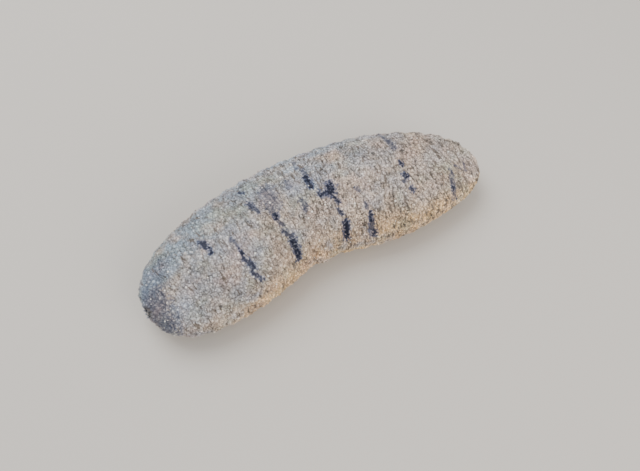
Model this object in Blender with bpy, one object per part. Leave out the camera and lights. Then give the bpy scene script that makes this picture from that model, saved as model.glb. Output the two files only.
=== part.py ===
"""A sandfish sea cucumber at life size, still, lying on a flat floor with its body bent as in life.

The body is one loaf-shaped form, laid along a bent spine and parted by thin cuts into named lengths.
Its back and flanks carry warts in its own surface, and its sole stands on tube feet with flat discs.
The mouth is a cup under the front end, which holds a crown of twenty short tentacles.
+X runs from the tail to the mouth end, +Z is up, and the origin is on the floor under the middle of the model.
Lengths are in metres. Angles round the body are in degrees from the top of the back, positive to its left.
"""

import math
import random

import bmesh
import bpy
import numpy as np
from mathutils import Matrix, Vector

MM = 0.001

# The spine, seen from above: it starts at the tail tip and bends towards the animal's right side.
SPINE_LENGTH = 204.5 * MM
TAIL_TIP = (-100.0 * MM, -15.55 * MM)
TAIL_HEADING = 14.4
BODY_TURN = -22.0
BODY_TURN_SPAN = (0.34, 0.59)
HEAD_TURN = -18.0
HEAD_TURN_SPAN = (0.75, 1.0)
SPINE_STEPS = 800

# The loaf's half width and height, by share of the spine.
HALF_WIDTHS = ((0.0, 36.5 * MM), (0.25, 33.5 * MM), (0.48, 29.5 * MM), (0.7, 34.4 * MM), (1.0, 35.0 * MM))
HEIGHTS = ((0.0, 39.5 * MM), (0.3, 43.5 * MM), (0.55, 41.5 * MM), (0.8, 37.5 * MM), (1.0, 33.5 * MM))
TAIL_BLUNTNESS = 2.67
MOUTH_BLUNTNESS = 2.27
END_TIP_HEIGHT = 15.5 * MM
BACK_FULLNESS = 2.15
FLANK_FULLNESS = 2.55
SOLE_PRESS = 3.6 * MM
SOLE_LEVEL = 0.9 * MM

# The lattice of skin points: every other ring is turned by half a step, and one point in three is a wart's tip.
POINTS_AROUND = 54
RINGS = 88

# Warts and folds of the back and flanks.
WART_HEIGHT = 1.15 * MM
WART_VARIETY = 0.35
POINT_JITTER = 0.3 * MM
RELIEF_START = 2.5 * MM
FOLD_SPACING = 9.5 * MM
FOLD_DEPTH = 0.35 * MM
FRONT_FOLD_SPACING = 4.6 * MM
FRONT_FOLD_DEPTH = 0.4 * MM
FRONT_FOLDS_FROM = 160 * MM

# Grooves across the back, as (distance from the tail tip, first angle, last angle, depth).
GROOVE_HALF_WIDTH = 2.2 * MM
GROOVES = (
    (41.0 * MM, -2, 24, 0.6 * MM),
    (51.8 * MM, -52, -4, 0.9 * MM),
    (72.5 * MM, 0, 44, 0.7 * MM),
    (75.8 * MM, -60, -8, 1.1 * MM),
    (87.5 * MM, -112, -74, 1.0 * MM),
    (103.7 * MM, -6, 34, 1.0 * MM),
    (113.3 * MM, -76, -10, 1.2 * MM),
    (129.2 * MM, -80, -20, 1.0 * MM),
    (155.8 * MM, -40, 58, 0.9 * MM),
    (185.3 * MM, -68, -30, 0.8 * MM),
    (194.5 * MM, -28, 0, 0.6 * MM),
)

# The swelling of the right flank on the inside of the bend.
SWELL_STATION = 96.5 * MM
SWELL_HALF_LENGTH = 7 * MM
SWELL_HEIGHT = 2.2 * MM

# Where the body is parted, as distances from the tail tip, with the names of its lengths from the tail.
LENGTH_NAMES = ("anal_end", "trunk_rear", "trunk_middle", "trunk_front", "mouth_end")
CUTS = (30 * MM, 84 * MM, 136 * MM, 168 * MM)
PART_GAP = 0.3 * MM

# The vent: a puckered pit in the tail's end face.
VENT_RADIUS = 3.4 * MM
VENT_DEPTH = 4.0 * MM
VENT_HEIGHT = 20 * MM
VENT_SIDES = 10

# Tube feet under the sole, in staggered rows.
FOOT_SPACING = 9.6 * MM
FOOT_DISC_RADIUS = 1.5 * MM
FOOT_NECK_RADIUS = 1.1 * MM
FOOT_SUNK = 1.4 * MM
FOOT_SIDES = 8
FOOT_PLACE_VARIETY = 1.6 * MM
FOOT_SIZE_VARIETY = 0.18
FOOT_ROW_REACH = 24 * MM
FOOT_FLOOR_MARGIN = 0.5 * MM
FOOT_CUT_MARGIN = 2.6 * MM
FOOT_MOUTH_MARGIN = 3.0 * MM

# The mouth's cup and the crown of tentacles in it.
MOUTH_STATION = 188 * MM
CUP_RADIUS = 9.0 * MM
CUP_DEPTH = 6.4 * MM
CUP_RIM_HEIGHT = 2.4 * MM
CROWN_GAP = 0.3 * MM
CROWN_FACE_HEIGHT = 4.6 * MM
TENTACLE_RINGS = ((12, 6.3 * MM, 1.5 * MM, 0.0), (8, 3.3 * MM, 1.15 * MM, 0.5))
TENTACLE_TIP_HEIGHT = 0.9 * MM
TENTACLE_SHIELD_THICKNESS = 1.3 * MM
TENTACLE_STALK_SHARE = 0.55
TENTACLE_SIDES = 8
TENTACLE_SUNK = 0.9 * MM

RANDOM_SEED = 11

SKIN_COLOUR = (0.40, 0.34, 0.28)
FRONT_COLOUR = (0.38, 0.31, 0.25)
VENT_END_COLOUR = (0.34, 0.32, 0.31)
TENTACLE_COLOUR = (0.30, 0.26, 0.22)
SKIN_ROUGHNESS = 0.6
TENTACLE_ROUGHNESS = 0.5


def smooth_step(share):
    share = np.clip(share, 0.0, 1.0)
    return share * share * (3 - 2 * share)


def over_span(values, span):
    """0 before the span and 1 after it, with a smooth rise between."""
    return smooth_step((values - span[0]) / (span[1] - span[0]))


def along(table, shares):
    """Reads a table of (share, size) with a smooth curve through its points."""
    stations, sizes = np.array(table).T
    low = np.clip(np.searchsorted(stations, shares, side="right") - 1, 0, len(stations) - 2)
    step = stations[low + 1] - stations[low]
    part = (shares - stations[low]) / step
    slopes = np.gradient(sizes, stations)
    rise = part * part * (3 - 2 * part)
    leaving = step * slopes[low] * part * (1 - part) ** 2
    arriving = step * slopes[low + 1] * part**2 * (1 - part)
    return sizes[low] + (sizes[low + 1] - sizes[low]) * rise + leaving - arriving


def headings(shares):
    """The spine's direction, in radians from +X."""
    bend = BODY_TURN * over_span(shares, BODY_TURN_SPAN)
    head_bend = HEAD_TURN * over_span(shares, HEAD_TURN_SPAN)
    return np.radians(TAIL_HEADING + bend + head_bend)


def lay_spine():
    """Shares of the spine, and the point of the floor plan at each."""
    shares = np.linspace(0.0, 1.0, SPINE_STEPS + 1)
    middles = (shares[1:] + shares[:-1]) / 2
    turned = headings(middles)
    steps = SPINE_LENGTH / SPINE_STEPS * np.column_stack((np.cos(turned), np.sin(turned)))
    return shares, np.array(TAIL_TIP) + np.vstack(((0, 0), np.cumsum(steps, axis=0)))


SPINE_SHARES, SPINE_PLAN = lay_spine()


def spine_points(shares):
    return np.column_stack([np.interp(shares, SPINE_SHARES, SPINE_PLAN[:, axis]) for axis in (0, 1)])


def end_rounding(shares):
    """How full the loaf is: 1 over the middle, falling to 0 at both tips."""
    power = np.where(shares < 0.5, TAIL_BLUNTNESS, MOUTH_BLUNTNESS)
    return np.clip(1 - np.abs(2 * shares - 1) ** power, 0, 1) ** (1 / power)


def section_points(shares, angles):
    """Points of the smooth form, for angles in radians."""
    fullness = end_rounding(shares)
    reach = along(HALF_WIDTHS, shares) * fullness
    up, side = np.cos(angles), np.sin(angles)
    upper = up > 0
    power = np.where(upper, BACK_FULLNESS, FLANK_FULLNESS)
    length = (np.abs(up) ** power + np.abs(side) ** power) ** (1 / power)
    up, side = up / length, side / length
    rise = np.where(upper, along(HEIGHTS, shares) - END_TIP_HEIGHT, END_TIP_HEIGHT + SOLE_PRESS)
    z = np.maximum(END_TIP_HEIGHT + rise * fullness * up, SOLE_LEVEL)
    plan = spine_points(shares)
    heading = headings(shares)
    x = plan[:, 0] - np.sin(heading) * reach * side
    y = plan[:, 1] + np.cos(heading) * reach * side
    return np.column_stack((x, y, z))


def run_length(points):
    """The distance run along a line of points, at each of them."""
    steps = np.linalg.norm(np.diff(points, axis=0), axis=1)
    return np.concatenate(((0,), np.cumsum(steps)))


def ring_shares():
    """Shares of the spine that put the rings at even steps over the skin."""
    dense = (1 - np.cos(np.linspace(0, np.pi, 2001))) / 2
    run = run_length(np.column_stack((dense * SPINE_LENGTH, along(HALF_WIDTHS, dense) * end_rounding(dense))))
    return np.interp(np.linspace(0, run[-1], RINGS + 1), run, dense)


def even_angles(share, turns):
    """Angles that put points at even steps round one section, from the middle of the sole."""
    dense = np.linspace(-np.pi, np.pi, 721)
    run = run_length(section_points(np.full(len(dense), share), dense))
    return np.interp(np.mod(turns, 1.0) * run[-1], run, dense)


def folds(shares, angles):
    """The height of the skin's folds and grooves over the smooth form."""
    stations = shares * SPINE_LENGTH
    waver = 1.4 * np.sin(2.1 * angles + 0.9) + 0.8 * np.sin(5.0 * angles)
    body = FOLD_DEPTH * np.sin(2 * np.pi * stations / FOLD_SPACING + waver)
    front_share = over_span(stations, (FRONT_FOLDS_FROM, SPINE_LENGTH - 12 * MM))
    front = FRONT_FOLD_DEPTH * front_share * np.sin(2 * np.pi * stations / FRONT_FOLD_SPACING + waver)
    swell = np.clip(-np.sin(angles), 0, 1) ** 2 * np.exp(-(((stations - SWELL_STATION) / SWELL_HALF_LENGTH) ** 2))
    height = body + front + SWELL_HEIGHT * swell
    for station, first, last, depth in GROOVES:
        middle, reach = math.radians(first + last) / 2, math.radians(last - first) / 2
        inside = 1 - smooth_step((np.abs(angles - middle) - reach) / math.radians(9))
        height = height - depth * inside * np.exp(-(((stations - station) / GROOVE_HALF_WIDTH) ** 2))
    return height


def loaf():
    """The whole body as one closed bmesh: a sphere whose rings are laid along the spine, with the relief raised."""
    draw = random.Random(RANDOM_SEED)
    bm = bmesh.new()
    bmesh.ops.create_uvsphere(bm, u_segments=POINTS_AROUND, v_segments=RINGS, radius=1.0)
    ring_places = ring_shares()
    steps_round = np.arange(POINTS_AROUND)
    ring_angles = [
        even_angles(share, (steps_round + 0.5 * (ring % 2)) / POINTS_AROUND) for ring, share in enumerate(ring_places)
    ]
    rings = [round((0.5 + math.asin(max(-1.0, min(1.0, vert.co.z))) / math.pi) * RINGS) for vert in bm.verts]
    steps = [round(math.atan2(vert.co.y, vert.co.x) / (2 * math.pi) * POINTS_AROUND) for vert in bm.verts]
    shares = ring_places[rings]
    angles = np.array([ring_angles[ring][step % POINTS_AROUND] for ring, step in zip(rings, steps)])
    for vert, point in zip(bm.verts, section_points(shares, angles)):
        vert.co = point
    bmesh.ops.triangulate(bm, faces=bm.faces[:], quad_method="SHORT_EDGE")
    bmesh.ops.recalc_face_normals(bm, faces=bm.faces[:])
    bm.normal_update()
    for vert, height, ring, step in zip(bm.verts, folds(shares, angles).tolist(), rings, steps):
        is_tip = ring % RINGS > 0 and (step - ring // 2 - ring) % 3 == 0
        wart = WART_HEIGHT * (1 + WART_VARIETY * draw.uniform(-1, 1)) if is_tip else 0.0
        sideways = POINT_JITTER * Vector([draw.uniform(-1, 1) for axis in range(3)])
        sideways -= sideways.dot(vert.normal) * vert.normal
        clear_of_sole = float(smooth_step((vert.co.z - SOLE_LEVEL) / RELIEF_START))
        vert.co += clear_of_sole * ((height + wart) * vert.normal + sideways)
    return bm


def cut_flat(bm, point, outward):
    """Cuts away what lies beyond a plane, and closes the cut with a flat face."""
    geometry = bm.verts[:] + bm.edges[:] + bm.faces[:]
    bmesh.ops.bisect_plane(bm, geom=geometry, dist=1e-7, plane_co=point, plane_no=outward, clear_outer=True)
    rim = [edge for edge in bm.edges if edge.is_boundary]
    caps = bmesh.ops.holes_fill(bm, edges=rim, sides=0)["faces"]
    bmesh.ops.poke(bm, faces=caps)
    bmesh.ops.recalc_face_normals(bm, faces=bm.faces[:])


def object_of(bm, name, collection):
    mesh = bpy.data.meshes.new(name)
    bm.to_mesh(mesh)
    bm.free()
    obj = bpy.data.objects.new(name, mesh)
    collection.objects.link(obj)
    return obj


def keep_largest_surface(obj):
    """Drops every closed surface of the object but the one with the most faces."""
    bm = bmesh.new()
    bm.from_mesh(obj.data)
    left = set(bm.faces)
    surfaces = []
    while left:
        found, front = set(), [left.pop()]
        while front:
            face = front.pop()
            found.add(face)
            near = {other for edge in face.edges for other in edge.link_faces} & left
            left -= near
            front.extend(near)
        surfaces.append(found)
    largest = max(surfaces, key=len)
    loose = [face for found in surfaces if found is not largest for face in found]
    bmesh.ops.delete(bm, geom=loose, context="FACES")
    bm.to_mesh(obj.data)
    bm.free()


def change_by_boolean(obj, operation, pieces):
    """Joins a collection's closed pieces to the object, or cuts them out of it, and removes them."""
    modifier = obj.modifiers.new(operation.lower(), "BOOLEAN")
    modifier.operation = operation
    modifier.operand_type = "COLLECTION"
    modifier.collection = pieces
    modifier.solver = "MANIFOLD"
    bpy.context.view_layer.update()
    evaluated = obj.evaluated_get(bpy.context.evaluated_depsgraph_get())
    changed = bpy.data.meshes.new_from_object(evaluated)
    obj.modifiers.clear()
    obj.data = changed
    for piece in list(pieces.objects):
        bpy.data.objects.remove(piece, do_unlink=True)
    bpy.data.collections.remove(pieces)
    keep_largest_surface(obj)


def pieces_collection(name):
    collection = bpy.data.collections.new(name)
    bpy.context.scene.collection.children.link(collection)
    return collection


def turned_piece(place, profile, sides, collection, turn=0.0):
    """A closed round piece that stands on its place, from the (radius, height) of each edge ring, bottom first."""
    bm = bmesh.new()
    rings = []
    for radius, height in profile:
        ring = []
        for side in range(sides):
            angle = turn + 2 * math.pi * side / sides
            ring.append(bm.verts.new(place + Vector((radius * math.cos(angle), radius * math.sin(angle), height))))
        rings.append(ring)
    for low, high in zip(rings, rings[1:]):
        for side in range(sides):
            after = (side + 1) % sides
            bm.faces.new((low[side], low[after], high[after], high[side]))
    bm.faces.new(rings[0][::-1])
    bm.faces.new(rings[-1])
    bmesh.ops.triangulate(bm, faces=bm.faces[:])
    return object_of(bm, "piece", collection)


def direction_at(station):
    heading = headings(np.array([station / SPINE_LENGTH]))[0]
    return Vector((math.cos(heading), math.sin(heading), 0))


def point_at(station, height=0.0):
    plan = spine_points(np.array([station / SPINE_LENGTH]))[0]
    return Vector((plan[0], plan[1], height))


def body_length(whole, name, start, end, collection):
    """The stretch of the body between two cuts, less half a gap at each."""
    bm = whole.copy()
    if start > 0:
        cut_flat(bm, point_at(start) + direction_at(start) * PART_GAP / 2, -direction_at(start))
    if end < SPINE_LENGTH:
        cut_flat(bm, point_at(end) - direction_at(end) * PART_GAP / 2, direction_at(end))
    return object_of(bm, name, collection)


def foot_places():
    """(station, sideways, size, turn) of each tube foot, in staggered rows with a little disorder."""
    draw = random.Random(RANDOM_SEED + 1)
    row_step = FOOT_SPACING * math.sqrt(3) / 2
    places = []
    for row in range(int(SPINE_LENGTH / row_step) + 1):
        for step in range(-4, 5):
            station = row * row_step + draw.uniform(-1, 1) * FOOT_PLACE_VARIETY
            sideways = (step + 0.5 * (row % 2)) * FOOT_SPACING + draw.uniform(-1, 1) * FOOT_PLACE_VARIETY
            size = 1 + draw.uniform(-1, 1) * FOOT_SIZE_VARIETY
            turn = draw.uniform(0, math.pi)
            places.append((station, sideways, size, turn))
    return places


def stands_on_sole(station, sideways, radius):
    """Whether a foot there meets the flat of the sole, clear of the cuts and the mouth."""
    share = station / SPINE_LENGTH
    if not 0 < share < 1 or abs(sideways) > FOOT_ROW_REACH:
        return False
    if min(abs(station - cut) for cut in CUTS) < FOOT_CUT_MARGIN:
        return False
    if math.hypot(station - MOUTH_STATION, sideways) < CUP_RADIUS + FOOT_MOUTH_MARGIN:
        return False
    dense = np.radians(np.linspace(90, 180, 91))
    section = section_points(np.full(len(dense), share), dense)
    reach = np.linalg.norm(section[:, :2] - spine_points(np.array([share])), axis=1)
    flat = section[:, 2] < SOLE_LEVEL + FOOT_FLOOR_MARGIN
    return bool(flat.any()) and abs(sideways) + radius < reach[flat].max()


def add_feet(obj, start, end):
    feet = pieces_collection("feet of " + obj.name)
    for station, sideways, size, turn in foot_places():
        if start < station < end and stands_on_sole(station, sideways, FOOT_DISC_RADIUS * size):
            heading = direction_at(station)
            place = point_at(station) + sideways * Vector((-heading.y, heading.x, 0))
            profile = ((FOOT_DISC_RADIUS * size, 0), (FOOT_NECK_RADIUS * size, SOLE_LEVEL + FOOT_SUNK))
            turned_piece(place, profile, FOOT_SIDES, feet, turn)
    change_by_boolean(obj, "UNION", feet)


def cut_vent(obj):
    """A pit in the tail's end face, which narrows inwards."""
    pieces = pieces_collection("vent cutter")
    profile = ((VENT_RADIUS * 1.6, -VENT_DEPTH), (VENT_RADIUS, 0), (VENT_RADIUS * 0.4, VENT_DEPTH))
    cutter = turned_piece(Vector(), profile, VENT_SIDES, pieces)
    inwards = direction_at(0).to_track_quat("Z", "Y").to_matrix().to_4x4()
    cutter.data.transform(Matrix.Translation(point_at(0, VENT_HEIGHT)) @ inwards)
    change_by_boolean(obj, "DIFFERENCE", pieces)


def mouth_dome(radius, depth):
    """A squashed ball round the middle of the mouth."""
    bm = bmesh.new()
    bmesh.ops.create_uvsphere(bm, u_segments=24, v_segments=12, radius=1.0)
    place = Matrix.Translation(point_at(MOUTH_STATION, CUP_RIM_HEIGHT))
    bmesh.ops.transform(bm, matrix=place @ Matrix.Diagonal((radius, radius, depth, 1)), verts=bm.verts[:])
    return bm


def cut_cup(obj):
    pieces = pieces_collection("cup cutter")
    object_of(mouth_dome(CUP_RADIUS, CUP_DEPTH), "cup_cutter", pieces)
    change_by_boolean(obj, "DIFFERENCE", pieces)


def tentacle_crown(collection):
    """A dome that fills the top of the mouth's cup, with two rings of tentacles that end in round shields."""
    bm = mouth_dome(CUP_RADIUS - CROWN_GAP, CUP_DEPTH - CROWN_GAP)
    cut_flat(bm, point_at(MOUTH_STATION, CROWN_FACE_HEIGHT), Vector((0, 0, -1)))
    obj = object_of(bm, "oral_tentacles", collection)
    pieces = pieces_collection("tentacles")
    centre = point_at(MOUTH_STATION, TENTACLE_TIP_HEIGHT)
    root_height = CROWN_FACE_HEIGHT + TENTACLE_SUNK - TENTACLE_TIP_HEIGHT
    for count, ring_radius, shield_radius, offset in TENTACLE_RINGS:
        stalk_radius = shield_radius * TENTACLE_STALK_SHARE
        profile = ((shield_radius, 0), (stalk_radius, TENTACLE_SHIELD_THICKNESS), (stalk_radius, root_height))
        for index in range(count):
            turn = 2 * math.pi * (index + offset) / count
            place = centre + ring_radius * Vector((math.cos(turn), math.sin(turn), 0))
            turned_piece(place, profile, TENTACLE_SIDES, pieces, turn)
    change_by_boolean(obj, "UNION", pieces)
    return obj


def finish(obj, colour, roughness):
    material = bpy.data.materials.new("finish of " + obj.name)
    material.use_nodes = True
    shader = material.node_tree.nodes["Principled BSDF"]
    shader.inputs["Base Color"].default_value = (*colour, 1.0)
    shader.inputs["Roughness"].default_value = roughness
    shader.inputs["Metallic"].default_value = 0.0
    obj.data.materials.clear()
    obj.data.materials.append(material)


def main():
    for obj in list(bpy.data.objects):
        bpy.data.objects.remove(obj, do_unlink=True)
    collection = pieces_collection("sea_cucumber")
    colours = dict.fromkeys(LENGTH_NAMES, SKIN_COLOUR)
    colours["anal_end"] = VENT_END_COLOUR
    colours["mouth_end"] = FRONT_COLOUR
    whole = loaf()
    ends = (0.0, *CUTS, SPINE_LENGTH)
    for name, start, end in zip(LENGTH_NAMES, ends, ends[1:]):
        obj = body_length(whole, name, start, end, collection)
        if name == "mouth_end":
            cut_cup(obj)
        if name == "anal_end":
            cut_vent(obj)
        add_feet(obj, start, end)
        finish(obj, colours[name], SKIN_ROUGHNESS)
    whole.free()
    finish(tentacle_crown(collection), TENTACLE_COLOUR, TENTACLE_ROUGHNESS)


main()
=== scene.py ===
"""Looks of a life-size sandfish sea cucumber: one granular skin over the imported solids, and the coat on it.

Lengths are in metres and angles in degrees, except where a comment says otherwise. Stations run along the
body from its rear end. Angles round it run from the top of the back, and are positive to the animal's left.
"""

import math
from functools import partial

import bpy
import numpy as np
from mathutils import Matrix, Vector
from mathutils.kdtree import KDTree


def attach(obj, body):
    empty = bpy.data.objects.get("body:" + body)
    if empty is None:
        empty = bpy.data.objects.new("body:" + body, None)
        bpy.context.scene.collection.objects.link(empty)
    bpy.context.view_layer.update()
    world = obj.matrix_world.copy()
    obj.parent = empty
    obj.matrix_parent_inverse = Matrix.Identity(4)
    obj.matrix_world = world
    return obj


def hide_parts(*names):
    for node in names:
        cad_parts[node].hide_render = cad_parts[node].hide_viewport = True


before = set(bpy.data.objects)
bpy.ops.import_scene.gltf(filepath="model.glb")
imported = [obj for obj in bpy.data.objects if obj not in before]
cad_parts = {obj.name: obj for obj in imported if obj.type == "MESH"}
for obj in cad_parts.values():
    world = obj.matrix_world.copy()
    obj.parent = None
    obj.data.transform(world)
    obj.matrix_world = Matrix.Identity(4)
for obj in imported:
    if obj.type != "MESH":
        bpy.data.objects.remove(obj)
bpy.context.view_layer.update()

MM = 0.001

# The body's form, in the same values as its solids.
SPINE_LENGTH = 204.5 * MM
TAIL_TIP = (-100.0 * MM, -15.55 * MM)
TAIL_HEADING = 14.4
BODY_TURN = -22.0
BODY_TURN_SPAN = (0.34, 0.59)
HEAD_TURN = -18.0
HEAD_TURN_SPAN = (0.75, 1.0)
SPINE_STEPS = 800
HALF_WIDTHS = ((0.0, 36.5 * MM), (0.25, 33.5 * MM), (0.48, 29.5 * MM), (0.7, 34.4 * MM), (1.0, 35.0 * MM))
HEIGHTS = ((0.0, 39.5 * MM), (0.3, 43.5 * MM), (0.55, 41.5 * MM), (0.8, 37.5 * MM), (1.0, 33.5 * MM))
TAIL_BLUNTNESS = 2.67
MOUTH_BLUNTNESS = 2.27
END_TIP_HEIGHT = 15.5 * MM
BACK_FULLNESS = 2.15
FLANK_FULLNESS = 2.55
SOLE_PRESS = 3.6 * MM
SOLE_LEVEL = 0.9 * MM
RELIEF_START = 2.5 * MM

# Folds round the body, their waver as (strength, waves, start), and the finer folds of the front.
FOLD_SPACING = 9.5 * MM
FOLD_DEPTH = 0.35 * MM
FOLD_WAVERS = ((1.4, 2.1, 0.9), (0.8, 5.0, 0.0))
FRONT_FOLD_SPACING = 4.6 * MM
FRONT_FOLD_DEPTH = 0.4 * MM
FRONT_FOLD_SPAN = (160 * MM, SPINE_LENGTH - 12 * MM)

# Grooves across the back, as (station, first angle, last angle, depth), and one swell on the right flank.
GROOVE_HALF_WIDTH = 2.2 * MM
GROOVE_FADE = 9
GROOVES = (
    (41.0 * MM, -2, 24, 0.6 * MM),
    (51.8 * MM, -52, -4, 0.9 * MM),
    (72.5 * MM, 0, 44, 0.7 * MM),
    (75.8 * MM, -60, -8, 1.1 * MM),
    (87.5 * MM, -112, -74, 1.0 * MM),
    (103.7 * MM, -6, 34, 1.0 * MM),
    (113.3 * MM, -76, -10, 1.2 * MM),
    (129.2 * MM, -80, -20, 1.0 * MM),
    (155.8 * MM, -40, 58, 0.9 * MM),
    (185.3 * MM, -68, -30, 0.8 * MM),
    (194.5 * MM, -28, 0, 0.6 * MM),
)
SWELL_STATION = 96.5 * MM
SWELL_HALF_LENGTH = 7 * MM
SWELL_HEIGHT = 2.2 * MM

# Fine wrinkles across the body. Slow waves shift and fade them, as (strength, then the lengths over 2 pi in
# mm, sideways, upwards and along the body). A length below 0 slants the wave the other way.
WRINKLE_SPACING = 1.9 * MM
WRINKLE_DEPTH = 0.16 * MM
WRINKLE_SHIFTS = ((2.4, 5.2, math.inf, 17), (1.7, -11, 3.7, math.inf), (1.3, 2.3, 3.1, 7))
WRINKLE_FADING = (0.4, 4.1, -5.3, 6.1)
WRINKLE_MEAN = 0.6

# The vent in the tail's end face, and the skin's points drawn together round it.
VENT_HEIGHT = 20 * MM
VENT_RADIUS = 3.9 * MM
VENT_FLOOR_RADIUS = 0.9 * MM
VENT_DEPTH = 4.3 * MM
VENT_RIM_RADIUS = 4.9 * MM
VENT_RIM_HEIGHT = 0.45 * MM
VENT_RIM_REACH = 1.2 * MM
VENT_PLEATS = 14
VENT_PLEAT_WAVER = 0.6
VENT_PLEAT_WAVES = 3
VENT_PLEAT_RADIUS = 3.3 * MM
VENT_PLEAT_REACH = 2.0 * MM
VENT_PLEAT_DEPTH = 0.45 * MM
VENT_CROWD_REACH = 10 * MM
VENT_CROWDING = 0.58
END_FACE_DEPTH = 12 * MM

# The mouth's cup under the front end, with its lip.
MOUTH_STATION = 188 * MM
UNDERSIDE_FROM = 95
CUP_RADIUS = 9.6 * MM
CUP_DEPTH = 6.6 * MM
CUP_RIM_HEIGHT = 2.4 * MM
LIP_RADIUS = 10.5 * MM
LIP_HEIGHT = 0.45 * MM
LIP_REACH = 1.1 * MM
LIP_FOLDS = 20
LIP_FOLD_SHARE = 0.5
LIP_PLEAT_DEPTH = 0.42 * MM
LIP_PLEAT_REACH = 1.3 * MM
LIP_ROUNDING = 2.2 * MM
LIP_ROUNDS = 8

# The distance that stands for places nowhere near the vent or the mouth.
FAR_AWAY = 1.0

# The skin's mesh, the finer steps that its own are evened out over, and how far it lies inside the smooth
# form so that the coat has its depth.
SKIN_RINGS = 336
SKIN_STEPS = 272
EVEN_STATIONS = 2000
EVEN_ANGLES = 720
SKIN_INSET = 0.15 * MM
UNWRAP_MARGIN = 0.01

# Where the skin's fields change, as (start, length) of a smooth rise. A length below 0 rises the other way.
# Stations, heights and distances from the vent and the mouth are in mm.
# The cool tint is painted sky reflection, a bluer grey over the tail and over the animal's left, far side.
SKY_REFLECTION_TAIL_STATIONS = (100, -95)
SKY_REFLECTION_MIDDLE_STATIONS = (165, -50)
SKY_REFLECTION_FAR_ANGLES = (-25, 55)
WARM_STATIONS = (6, 55)
WARM_ANGLES = (48, 40)
# Over the front of the right, near flank the cream climbs higher as painted light from the near side.
NEAR_LIGHT_STATIONS = (95, 40)
NEAR_LIGHT_ANGLES = (0, -30)
SOLE_HEIGHTS = (1.0, 4.0)
# Painted shade darkens the vent and the mouth inside.
VENT_PAINTED_SHADE = (0.8, 3.0)
MOUTH_PAINTED_SHADE = (8.0, 2.0)
BARE_VENT = (4.4, 1.5)
BARE_MOUTH = (8.9, 1.5)
COAT_HEIGHTS = (1.6, 3.0)
FEET_HEIGHTS = (1.4, 0.3)
FEET_FROM_MOUTH = (10.5, 0.5)
TAIL_SKY_REFLECTION = 0.45
FAR_TAIL_SKY_REFLECTION = 0.6
FAR_SKY_REFLECTION = 0.75
# How far up painted near-side light lifts the cream, in degrees.
NEAR_LIGHT_REACH = 14
TAIL_WARMTH = 0.15

# Dark marks of the back and flanks, as (station, angle) of both ends, then width and darkness. Stations and
# widths are in mm.
DARK_MARKS = (
    # The broad blue-grey patch of the rear end: its blue is painted sky reflection, and its dark is partly
    # painted shade and partly the end's darker skin.
    (4.5, 6, 2.5, -46, 14, 0.5),
    (9.5, 48, 6.5, 10, 15, 0.2),
    # The rear bars.
    (39.5, 9, 40, 1, 2.9, 0.9),
    (40.5, -1, 40, -6, 2.2, 1),
    (51.5, -8, 52, -18, 2, 0.55),
    (51, -21, 51, -26, 1.6, 1),
    (50.5, -31, 52, -43, 2.9, 0.85),
    (49.5, -46, 52, -57, 2.2, 0.9),
    # The bar behind the middle, and the marks beside it.
    (77, -10, 76.5, -14, 2.7, 0.5),
    (76.5, -16, 76.5, -19, 2.9, 1),
    (76, -21, 77, -29, 2.1, 0.6),
    (75, -34, 77, -40, 2.8, 0.7),
    (76.5, -46, 75, -67, 3.8, 1),
    (72, 32, 73, 26, 1.6, 0.9),
    (70.5, 10, 70.5, 4, 3, 0.8),
    (71, 0, 71, -4, 2.3, 0.7),
    (81.5, 12, 79.5, -6, 6.6, 0.4),
    # The long middle bar with its blotch, and the bar before it.
    (113, -12, 111.5, -19, 5, 1),
    (107, -18, 109.5, -20, 1, 0.9),
    (105.5, -18, 106.5, -19, 3.1, 1),
    (113, -24, 114.5, -31, 1.9, 0.9),
    (112.5, -37, 114.5, -44, 1.9, 0.85),
    (115, -53, 114, -75, 3.2, 1),
    (126, -21, 126.5, -23, 2.2, 0.55),
    (128, -37, 128, -41, 2.3, 0.5),
    (129.5, -48, 129, -57, 2.6, 1),
    (129, -60, 128.5, -67, 2.9, 0.7),
    (129, -70, 129.5, -77, 3.7, 0.95),
    (92.5, 8, 92, 1, 2.6, 0.4),
    (102, 36, 101.5, 21, 2.1, 0.5),
    (103.5, 17, 103, 11, 2.1, 0.6),
    (103, 6, 103, -7, 3.1, 1),
    (94, -18, 94, -26, 3.3, 0.5),
    # The front marks.
    (156, -2, 155.5, -6, 2.3, 1),
    (155, -17, 155.5, -20, 3.2, 1),
    (154, -22, 153, -25, 2.1, 0.5),
    (156, -33, 156, -35, 2.7, 0.85),
    (184.5, -32, 185.5, -71, 3, 0.5),
    (184.5, -47, 184.5, -52, 2.8, 0.9),
    (194.5, -4, 194.5, -21, 1.7, 0.55),
    (185.5, -8, 191.5, -19, 0.9, 0.6),
    (183.5, -19, 186, -28, 1, 0.6),
    (154.5, 51, 155, 35, 2.8, 0.4),
    (155.5, 35, 157, 20, 3.3, 0.55),
    # Bars of the left flank.
    (27, 64, 27.5, 72, 2.2, 0.5),
    (41.5, 61, 41, 67, 2.2, 0.6),
    (52, 69, 52.5, 84, 2.8, 0.8),
    (73.5, 62, 74, 67, 2, 0.6),
    (74.5, 71, 75.5, 82, 3.4, 0.95),
    (84, 73, 84.5, 79, 2.2, 0.4),
    (102, 61, 103, 69, 2.4, 0.7),
    (103, 73, 104, 87, 3.4, 0.95),
    (117, 66, 117.5, 72, 2.2, 0.5),
    (129.5, 63, 130, 75, 3, 0.85),
    (130.5, 80, 130.5, 86, 2.2, 0.6),
    (155.5, 62, 156, 67, 2.4, 0.7),
    (157, 73, 157.5, 81, 2.6, 0.65),
    (172, 68, 172.5, 75, 2.2, 0.5),
    (186.5, 62, 187.5, 74, 2.6, 0.7),
)

# How far inside a mark a point is: 1 over the mark's middle, half at its edge and 0 past it. No mark reaches
# further than this from its middle.
MARK_DEPTH = 1.25
MARK_FALL = 0.75
MARK_REACH = 25 * MM
MARK_STEPS = 24

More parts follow.
